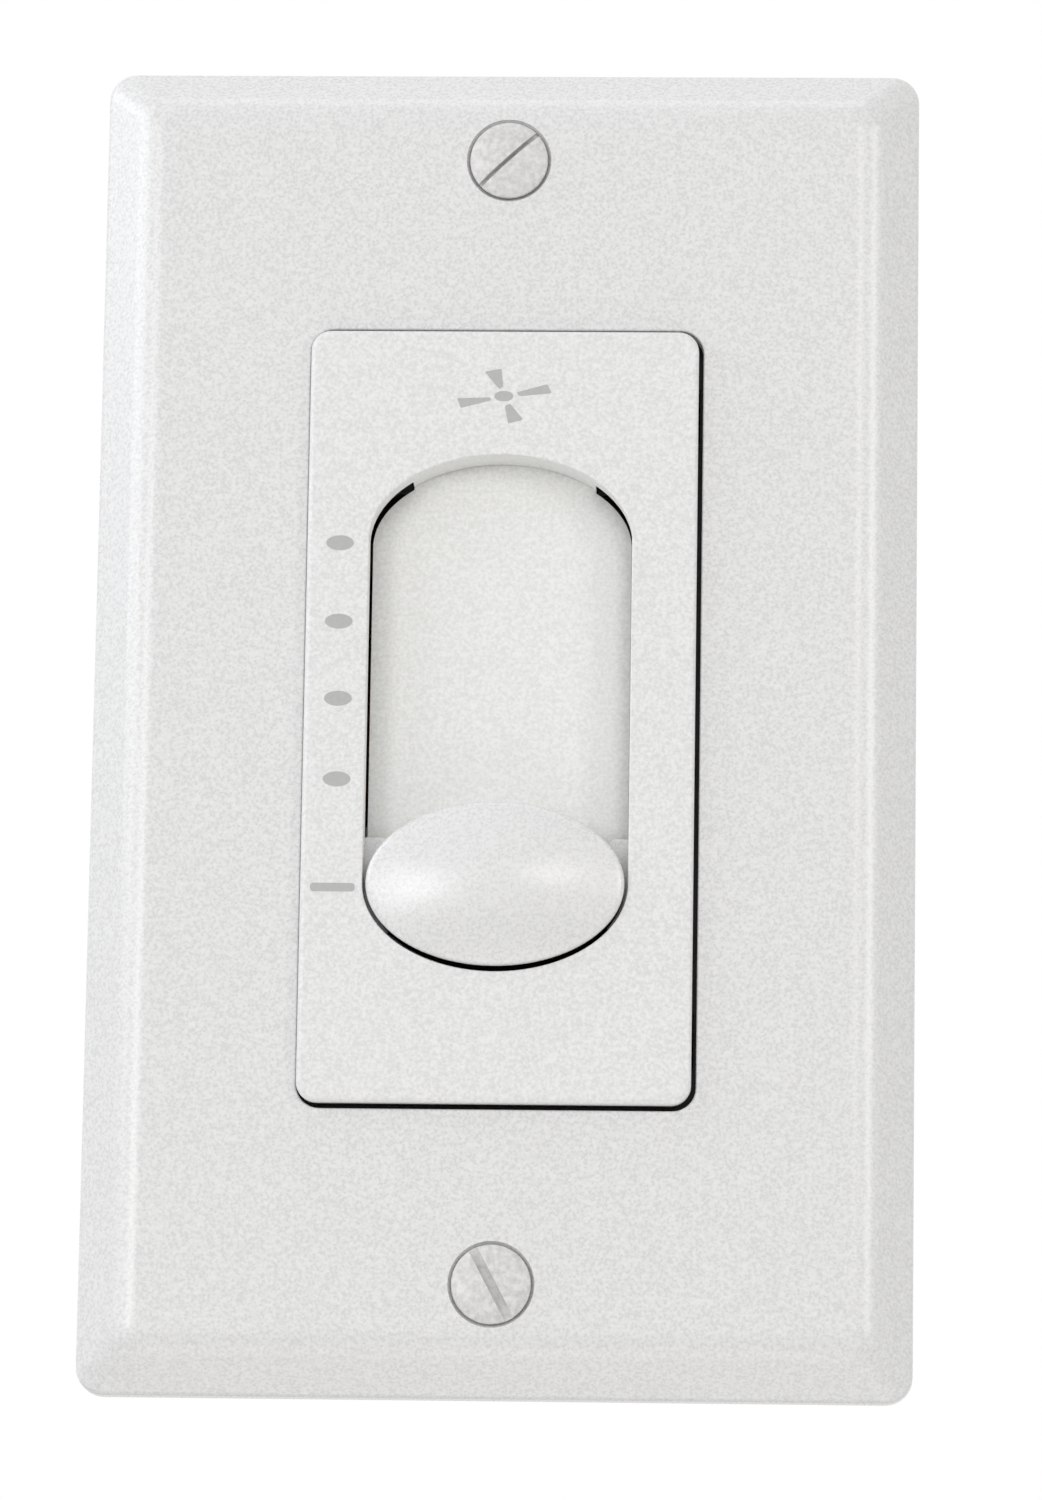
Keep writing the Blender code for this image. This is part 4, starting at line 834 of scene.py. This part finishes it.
def add_thread(screw, z, start_y, turns):
    """Joins a helical ridge along +Y to a screw's shank."""
    ridge = start(
        "thread_ridge",
        bpy.ops.mesh.primitive_circle_add,
        vertices=3,
        radius=1,
        fill_type="NOTHING",
        rotation=(pi / 2, 0, 0),
    )
    root, half_tooth = THREAD_MINOR - ROOT_SINK, HALF_TOOTH * PITCH
    places = ((root, -half_tooth), (root, half_tooth), (THREAD_MAJOR, 0.0))
    for point, (out, up) in zip(bmesh.from_edit_mesh(ridge.data).verts, places):
        point.co = Vector((out, 0, up)) * MM
    bmesh.update_edit_mesh(ridge.data)
    apply_modifier(
        ridge,
        "SCREW",
        axis="Z",
        screw_offset=PITCH * MM,
        iterations=turns,
        steps=THREAD_STEPS,
        render_steps=THREAD_STEPS,
    )
    reopen(ridge)
    bpy.ops.mesh.select_all(action="SELECT")
    bpy.ops.mesh.fill_holes(sides=4)
    bpy.ops.mesh.select_all(action="SELECT")
    bpy.ops.mesh.normals_make_consistent(inside=False)
    select_only(ridge)
    ridge.rotation_euler = (-pi / 2, 0, 0)
    ridge.location = Vector((0, start_y, z)) * MM
    bpy.ops.object.transform_apply(location=True, rotation=True, scale=True)
    cut(screw, ridge, "UNION")


def turned_screw(name, z, rings, end_y, sides=48):
    """A shank whose front is drawn out through rings of (radius, depth)."""
    first_y = rings[0][1]
    made = rod(name, THREAD_MINOR, (first_y, end_y), (0, z), sides)
    round_outline(end_y, TIP_ROUND, segments=2)
    pick_end(FRONT)
    draw_rings((0, z), (THREAD_MINOR, first_y), rings)
    bpy.ops.object.mode_set(mode="OBJECT")
    return made


# %% A screwdriver slot
BLADE_LENGTH, BLADE_HEIGHT = 12, 4
SLOT_FLOOR_ROUND = 0.08


def cut_slot(screw, z, floor_y, width, angle):
    """Cuts a slot across a head down to a depth, turned by an angle in degrees."""
    blade = start(
        "slot_blade",
        bpy.ops.mesh.primitive_cube_add,
        size=1,
        location=Vector((0, floor_y - BLADE_HEIGHT / 2, z)) * MM,
        rotation=(0, -radians(angle), 0),
        scale=Vector((BLADE_LENGTH, BLADE_HEIGHT, width)) * MM,
    )
    round_outline(floor_y, SLOT_FLOOR_ROUND, segments=2)
    cut(screw, blade)


# %% Painted screws
# White enamel over zinc: greyer than the plastic, mottled by thin paint, a little glossy.
screw_enamel = moulded_plastic("white_screw_enamel", "#CAC8C6", "#E3E2E1", 0.35, 0.5, 0.02)

HEAD_RADIUS, HEAD_DOME, HEAD_RINGS = 3.34, 0.7, 8
# The rings from the shank through the cone, and those of the head's thin rim.
CONE_RINGS = [(1.45, -4.0), (1.65, -4.05), (2.9, -5.3)]
RIM_RINGS = [(3.29, -5.5), (HEAD_RADIUS, -5.72)]
COVER_SCREW_END, COVER_SCREW_THREAD, COVER_SCREW_TURNS = 8.2, -2.4, 12
PAINT_END = -4.2
# Each screw: its node, its height, and its slot's floor, width and angle.
COVER_SCREWS = {
    "cover_screw_top": ("wallplate_screw_top", SCREW_PLACES[0], -5.5, 0.38, 43),
    "cover_screw_bottom": ("wallplate_screw_bottom", SCREW_PLACES[1], -5.7, 0.8, -62),
}

cover_rings = CONE_RINGS + RIM_RINGS
for ring in range(1, HEAD_RINGS + 1):
    turn = pi / 2 * (1 - ring / (HEAD_RINGS + POLE_GAP))
    cover_rings.append((HEAD_RADIUS * sin(turn), -FACE_DEPTH - HEAD_DOME * cos(turn)))
model = turned_screw("cover_screw", SCREW_Z, cover_rings, COVER_SCREW_END, sides=64)
add_thread(model, SCREW_Z, COVER_SCREW_THREAD, COVER_SCREW_TURNS)
for name, (node, z, floor_y, width, angle) in COVER_SCREWS.items():
    screw = copy_to(model, name, (0, 0, z - SCREW_Z))
    cut_slot(screw, z, floor_y, width, angle)
    reopen(screw)
    coat(screw, screw_enamel, zinc_plate, lambda face: middle(face).y > PAINT_END)
    smooth(screw)
    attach(screw, "root")
    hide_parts(node)
bpy.data.objects.remove(model)

# %% [markdown]
# ## Pan-head screws behind the cover
#
# Two long machine screws hold the strap to a wall box, a green one takes the earth wire,
# and two short brass ones clamp the wires. All have a slotted pan head. One is turned for
# each length, and each is copied to its place, with its head to the front, to the back or
# to the side.

# %% Pan-head screws
PAN_RINGS, PAN_BREAK = 6, 0.15
# A pan head's straight side and its flat top, as shares of its height and its radius.
PAN_SIDE, PAN_TOP = 0.4, 0.35
PAN_SLOT, PAN_SLOT_WIDTH = 0.5, 0.8
THREAD_RUN_OUT = 0.8


def pan_screw(name, head, height, length, turns, slot_angle):
    """A slotted pan-head screw along +Y, with the underside of its head at the origin."""
    rings = [(head - PAN_BREAK, 0.0), (head, -PAN_BREAK), (head, -PAN_SIDE * height)]
    for ring in range(1, PAN_RINGS + 1):
        turn = pi / 2 * ring / (PAN_RINGS + POLE_GAP)
        radius = head * (PAN_TOP + (1 - PAN_TOP) * cos(turn))
        rings.append((radius, -height * (PAN_SIDE + (1 - PAN_SIDE) * sin(turn))))
    made = turned_screw(name, 0, rings, length)
    add_thread(made, 0, length - (turns + THREAD_RUN_OUT) * PITCH, turns)
    cut_slot(made, 0, -PAN_SLOT * height, PAN_SLOT_WIDTH, slot_angle)
    smooth(made)
    return made


# Each kind: head radius, head height, length, thread turns, slot angle, finish and slot.
PAN_SCREWS = {
    "box_screw": (3.4, 1.8, 25.0, 27, 20, zinc_plate, "zinc_steel"),
    "earth_screw": (3.1, 2.0, 2.5, 2, 55, green_zinc, "green_screw"),
    "clamp_screw": (3.7, 2.0, 3.6, 3, 70, rolled_brass, "brass"),
}
# Each place: the kind, the middle of the head's underside, and the turn about the vertical.
PAN_PLACES = {
    "box_screw_top": ("box_screw", (0, -1.8, 41.67), 0),
    "box_screw_bottom": ("box_screw", (0, -1.8, -41.67), 0),
    "ground_screw": ("earth_screw", (7.3, 0, -40.67), 180),
    "terminal_screw_line": ("clamp_screw", (18.6, 18.1, 12), 90),
    "terminal_screw_load": ("clamp_screw", (18.6, 18.1, -12), 90),
}

for kind, (head, height, length, turns, slot_angle, finish, slot) in PAN_SCREWS.items():
    model = pan_screw(kind, head, height, length, turns, slot_angle)
    model.data.materials.append(finish)
    for node, (wanted, spot, turn) in PAN_PLACES.items():
        if wanted == kind:
            screw = copy_to(model, node + "_turned", spot, turn)
            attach(screw, "root")
            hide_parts(node)
    bpy.data.objects.remove(model)
print("pan-head screws:", len(PAN_PLACES))

# %% [markdown]
# ## Printed marks
#
# A small fan, four speed dots and an OFF dash are pad-printed in grey on the insert. Each
# mark is a thin closed slip that sinks into the face and stands 0.02 mm proud of it, which
# keeps its edge crisp from any side. A decal texture would need an image, so slips it is.

# %% Printing one mark
PRINT_PROUD, PRINT_SUNK = 0.02, 0.1
PRINT_BACK = PRINT_SUNK - INSERT_FRONT

# Grey pad-printing ink: flat, matt, with faint pinholes from the printing pad.
grey_ink = moulded_plastic("grey_printing_ink", "#B3B4B1", "#B9BAB7", 0.6, 0.3, 0.002)
printed = []


def print_slip(name):
    """Draws the flat outline in edit mode out into a thin slip through the face."""
    bpy.ops.mesh.select_all(action="SELECT")
    draw_out(-PRINT_PROUD - PRINT_SUNK)
    bpy.ops.mesh.select_all(action="SELECT")
    bpy.ops.mesh.normals_make_consistent(inside=False)
    bpy.ops.object.mode_set(mode="OBJECT")
    printed.append(bpy.context.object)
    print(name, "printed")


def print_oval(name, x, z, half_x, half_z):
    """Prints an oval."""
    start(
        name,
        bpy.ops.mesh.primitive_circle_add,
        vertices=48,
        radius=1,
        fill_type="NGON",
        rotation=(pi / 2, 0, 0),
    )
    taper((0, 0), half_x * MM, half_z * MM)
    bpy.ops.transform.translate(value=Vector((x, PRINT_BACK, z)) * MM)
    print_slip(name)


def print_patch(name, corners, roundness):
    """Prints a four-cornered patch with rounded corners."""
    patch = start(name, bpy.ops.mesh.primitive_plane_add, size=1, rotation=(pi / 2, 0, 0))
    mesh = bmesh.from_edit_mesh(patch.data)
    mesh.verts.ensure_lookup_table()
    # A plane's corners come in two rows, so the last two are swapped to go round it.
    for number, (x, z) in zip((0, 1, 3, 2), corners):
        mesh.verts[number].co = Vector((x, PRINT_BACK, z)) * MM
    bmesh.update_edit_mesh(patch.data)
    bpy.ops.mesh.select_all(action="SELECT")
    bpy.ops.mesh.bevel(offset=roundness * MM, segments=4, affect="VERTICES")
    print_slip(name)


# %% Printed marks
DOTS = ((-13.74, 14.61), (-13.72, 7.83), (-13.66, 1.19), (-13.62, -5.72))
DOT_HALF = (1.17, 0.64)
DASH = ((-15.68, -14.59), (-15.68, -15.31), (-11.92, -15.31), (-11.92, -14.59))
FAN_HUB = (-0.08, 27.44, 0.80, 0.45)
FAN_BLADES = (
    ((-4.05, 27.24), (-3.72, 26.39), (-1.18, 27.07), (-1.18, 27.31)),
    ((3.97, 27.72), (3.61, 28.50), (0.99, 27.77), (1.23, 27.44)),
    ((-0.32, 29.83), (-1.74, 29.57), (-0.47, 28.04), (-0.14, 28.27)),
    ((0.32, 25.06), (1.58, 25.40), (0.46, 26.79), (0.00, 26.57)),
)
DASH_ROUND, BLADE_ROUND = 0.3, 0.12

for number, (x, z) in enumerate(DOTS, 1):
    print_oval("speed_dot_%d" % number, x, z, *DOT_HALF)
print_oval("fan_hub", *FAN_HUB)
print_patch("off_dash", DASH, DASH_ROUND)
for number, corners in enumerate(FAN_BLADES, 1):
    print_patch("fan_blade_%d" % number, corners, BLADE_ROUND)

select_only(printed[0])
for slip in printed:
    slip.select_set(True)
bpy.ops.object.join()
marks = bpy.context.object
marks.name = marks.data.name = "printed_marks"
marks.data.materials.append(grey_ink)
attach(marks, "root")

# %% [markdown]
# ## Case, insulation and inner parts
#
# The rear case is black phenolic, pressed and cured, with a dull surface. Inside are a
# resin board, nylon sliders, epoxy-dipped capacitors and lacquered resistors, and under
# the box screws sit pressed fibre washers. All of them take the same moulded recipe with
# their own colour, gloss and grain.

# %% Non-metals behind the cover
# Black phenolic: charcoal rather than black, dull, with a fine speckle of filler.
black_phenolic = moulded_plastic("black_phenolic", "#17171A", "#222225", 0.48, 0.6, 0.02)
# Natural nylon: undyed, creamy and a little waxy.
natural_nylon = moulded_plastic("natural_nylon", "#D8D0BC", "#E4DDCB", 0.40, 0.8, 0.01)
# Resin-bonded board: brown, mottled by the paper in it.
board_laminate = moulded_plastic("resin_board", "#7E5F2E", "#937240", 0.45, 0.5, 0.02)
# Dipped epoxy: a glossy mustard skin that is uneven where it ran.
dipped_epoxy = moulded_plastic("dipped_epoxy", "#BC8F2C", "#C89C3A", 0.22, 1.5, 0.03)
# Brown lacquer: a thin glossy coat.
brown_lacquer = moulded_plastic("brown_lacquer", "#A3835A", "#B2936C", 0.25, 0.8, 0.02)
# Pressed fibre: matt and rough, like stiff card.
pressed_fibre = moulded_plastic("pressed_fibre", "#7C5D43", "#9A7A5C", 0.75, 0.35, 0.04)

FINISHES = {
    "zinc_steel": zinc_plate,
    "brass": rolled_brass,
    "green_screw": green_zinc,
    "black_plastic": black_phenolic,
    "nylon": natural_nylon,
    "board": board_laminate,
    "capacitor": dipped_epoxy,
    "resistor": brown_lacquer,
    "fibre": pressed_fibre,
}
dressed = 0
for row in frame["record"]["subparts"]:
    node = frame["nodes"][row["node"]]
    finish = FINISHES.get(row["material_slot"])
    # The strap takes the zinc whose front is painted black as shade.
    if row["node"] == "yoke":
        finish = strap_zinc_painted_shade
    if finish:
        node.data.materials.clear()
        node.data.materials.append(finish)
        dressed += 1
print("CAD nodes dressed:", dressed)

# %% [markdown]
# ## Rear case
#
# The case is pressed from black phenolic in one piece. It has rounded edges, a shallow
# panel on its back, lugs for the strap's screws, and two niches for the terminals. A block
# is rounded and its back is drawn in for the panel. Its inner space is built as a solid of
# its own, less the rails, posts and niche walls that stay standing, and is then cut away.

# %% Rear case: outside
CASE_HALF = (21.5, 33.0)
CASE_X, CASE_Z = around(0, CASE_HALF[0]), around(0, CASE_HALF[1])
CASE_BACK, CASE_FLOOR = 30.0, 28.0
CASE_CORNER, CASE_EDGE = 2.0, 1.2
PANEL_INSET, PANEL_STEP = 4.2, 0.4
LUG_X, LUG_Z, LUG_RADIUS = 14.0, 36.07, 3.2
LUG_FRONT, LUG_BACK, LUG_EDGE = 0.1, 8.0, 0.5
# A lug starts this far inside the case, and its rounded end stops just short of a full arc.
LUG_SINK, LUG_ARC = 1.0, 0.999
# Cutters end a little beyond what they cut, or well outside the case.
BEYOND, OUTSIDE = 1, 60

case = block("rear_case", CASE_X, (0, CASE_BACK), CASE_Z)
round_corners(CASE_CORNER, segments=6)
round_outline(CASE_BACK, CASE_EDGE, segments=5)
pick_end(BACK)
flat = [half - CASE_EDGE for half in CASE_HALF]
for inset, depth in ((PANEL_INSET, 0.0), (PANEL_STEP, PANEL_STEP)):
    draw_out(-depth)
    narrowed = [half - inset for half in flat]
    taper((0, 0), narrowed[0] / flat[0], narrowed[1] / flat[1])
    flat = narrowed
bpy.ops.object.mode_set(mode="OBJECT")
for side, end in CORNERS:
    lug = block(
        "case_lug",
        around(side * LUG_X, LUG_RADIUS),
        (LUG_FRONT, LUG_BACK),
        sorted((end * (CASE_HALF[1] - LUG_SINK), end * (LUG_Z + LUG_RADIUS))),
    )
    pick("EDGE", lambda edge: along(edge, 1) and middle(edge).z * end > LUG_Z)
    round_edges(LUG_ARC * LUG_RADIUS, segments=12)
    pick(
        "EDGE",
        lambda edge: at_depth(edge, LUG_BACK) and middle(edge).z * end > CASE_HALF[1],
    )
    round_edges(LUG_EDGE, segments=3)
    cut(case, lug, "UNION")
print("rear case faces:", len(case.data.polygons))

# %% Rear case: inner space and niches
SPACE_X, SPACE_Z = around(0, 19.5), around(0, 31.0)
RAIL_INNER, RAIL_DEPTHS = 17.5, (5.2, 7.2)
POST_RADIUS, POSTS = 2.6, ((-15.5, 27.0), (10.5, -27.0))
BOARD_BACK = 10.9
NICHE_WALL, NICHE_FLOOR, NICHE_FRONT = 15.0, 17.0, 13.3
NICHE_Z, NICHE_HALF, NICHE_OUTER = 12.0, 6.0, 8.0
NICHE_EDGE = 0.3
NICHES = (-NICHE_Z, NICHE_Z)

space = block("inner_space", SPACE_X, (-BEYOND, CASE_FLOOR), SPACE_Z)
bpy.ops.object.mode_set(mode="OBJECT")
for side in (-1, 1):
    across = sorted((side * RAIL_INNER, side * CASE_HALF[0]))
    cut(space, block("case_rail", across, RAIL_DEPTHS, CASE_Z))
behind_board = (BOARD_BACK, CASE_BACK)
for place in POSTS:
    cut(space, rod("case_post", POST_RADIUS, behind_board, place))
for z in NICHES:
    wall_x = (NICHE_WALL, CASE_HALF[0])
    cut(space, block("niche_wall", wall_x, behind_board, around(z, NICHE_OUTER)))
cut(case, space)
for z in NICHES:
    open_x, open_y = (NICHE_FLOOR, OUTSIDE), (NICHE_FRONT, OUTSIDE)
    cut(case, block("niche", open_x, open_y, around(z, NICHE_HALF)))


def in_niche(face):
    """Whether a face is the floor or a wall of a niche."""
    place = middle(face)
    from_middle = abs(abs(place.z) - NICHE_Z)
    if from_middle > NICHE_HALF + NEAR:
        return False
    floor = face.normal.x > STRAIGHT and abs(place.x - NICHE_FLOOR) < NEAR
    front = face.normal.y > STRAIGHT and abs(place.y - NICHE_FRONT) < NEAR
    wall = abs(from_middle - NICHE_HALF) < NEAR and place.x > NICHE_FLOOR
    return floor or front or wall


reopen(case)
rims = pick("EDGE", lambda edge: sum(in_niche(face) for face in edge.link_faces) == 1)
round_edges(NICHE_EDGE, segments=3)
bpy.ops.object.mode_set(mode="OBJECT")
print("niche rims:", rims, "rear case faces:", len(case.data.polygons))

# %% Rear case: bores
TAIL_X, TAIL_DEPTHS, TAIL_HALF = (17.0, 18.6), (10.6, 13.6), 1.8
CLAMP_BORE, CLAMP_X, CLAMP_Y = 1.95, (13.0, 19.3), 18.1
POST_BORE, POST_DEPTHS = 1.45, (10.6, 18.9)
LUG_BORE = 1.65

for z in NICHES:
    cut(case, block("tail_way", TAIL_X, TAIL_DEPTHS, around(z, TAIL_HALF)))
    bore = start(
        "clamp_bore",
        bpy.ops.mesh.primitive_cylinder_add,
        vertices=32,
        radius=CLAMP_BORE * MM,
        depth=(CLAMP_X[1] - CLAMP_X[0]) * MM,
        location=Vector((sum(CLAMP_X) / 2, CLAMP_Y, z)) * MM,
        rotation=(0, pi / 2, 0),
    )
    cut(case, bore)
for place in POSTS:
    cut(case, rod("post_bore", POST_BORE, POST_DEPTHS, place))
bore_depths = (-BEYOND, LUG_BACK + BEYOND)
for side, end in CORNERS:
    cut(case, rod("lug_bore", LUG_BORE, bore_depths, (side * LUG_X, end * LUG_Z)))
smooth(case)
case.data.materials.append(black_phenolic)
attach(case, "root")
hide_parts("housing")

# %% [markdown]
# ## Softened edges
#
# No pressed, moulded or stamped edge is knife-sharp, and a hair of rounding is what catches
# the light. The CAD pieces that can be seen keep their own meshes, so the rounding is a
# stack of live modifiers: the loose triangles are welded, flat areas are merged, and then
# the edges that are left are bevelled by their angle.

# %% Soft edges on the CAD pieces that show
SOFT_EDGES = {
    "yoke": 0.1,
    "screw_retainer_top": 0.08,
    "screw_retainer_bottom": 0.08,
    "terminal_plate_line": 0.1,
    "terminal_plate_load": 0.1,
    "slider_carriage": 0.15,
}
WELD_REACH = 0.002
FLAT_ANGLE, EDGE_ANGLE = radians(2), radians(40)

for name, width in SOFT_EDGES.items():
    node = frame["nodes"][name]
    weld = node.modifiers.new("weld", "WELD")
    weld.merge_threshold = WELD_REACH * MM
    merge = node.modifiers.new("merge_flats", "DECIMATE")
    merge.decimate_type = "DISSOLVE"
    merge.angle_limit = FLAT_ANGLE
    soften = node.modifiers.new("soft_edges", "BEVEL")
    soften.width = width * MM
    soften.segments = 2
    soften.limit_method = "ANGLE"
    soften.angle_limit = EDGE_ANGLE
    normals = node.modifiers.new("even_shading", "WEIGHTED_NORMAL")
    normals.keep_sharp = True
print("softened:", len(SOFT_EDGES))

# %% [markdown]
# ## Floor
#
# The part hangs in the photograph, with nothing behind it. A plain pale floor lies well
# below it, lower than the camera, so that it is out of the main view.

# %% Pale floor
FLOOR_Z, FLOOR_SIZE = -700.0, 4000.0

floor_paint = moulded_plastic("pale_floor", "#F1F1F1", "#F3F3F3", 0.6, 4.0, 0.01)
floor = start(
    "pale_floor",
    bpy.ops.mesh.primitive_plane_add,
    size=FLOOR_SIZE * MM,
    location=(0, 0, FLOOR_Z * MM),
)
bpy.ops.mesh.subdivide(number_cuts=3)
bpy.ops.object.mode_set(mode="OBJECT")
floor.data.materials.append(floor_paint)
print("floor at", FLOOR_Z)
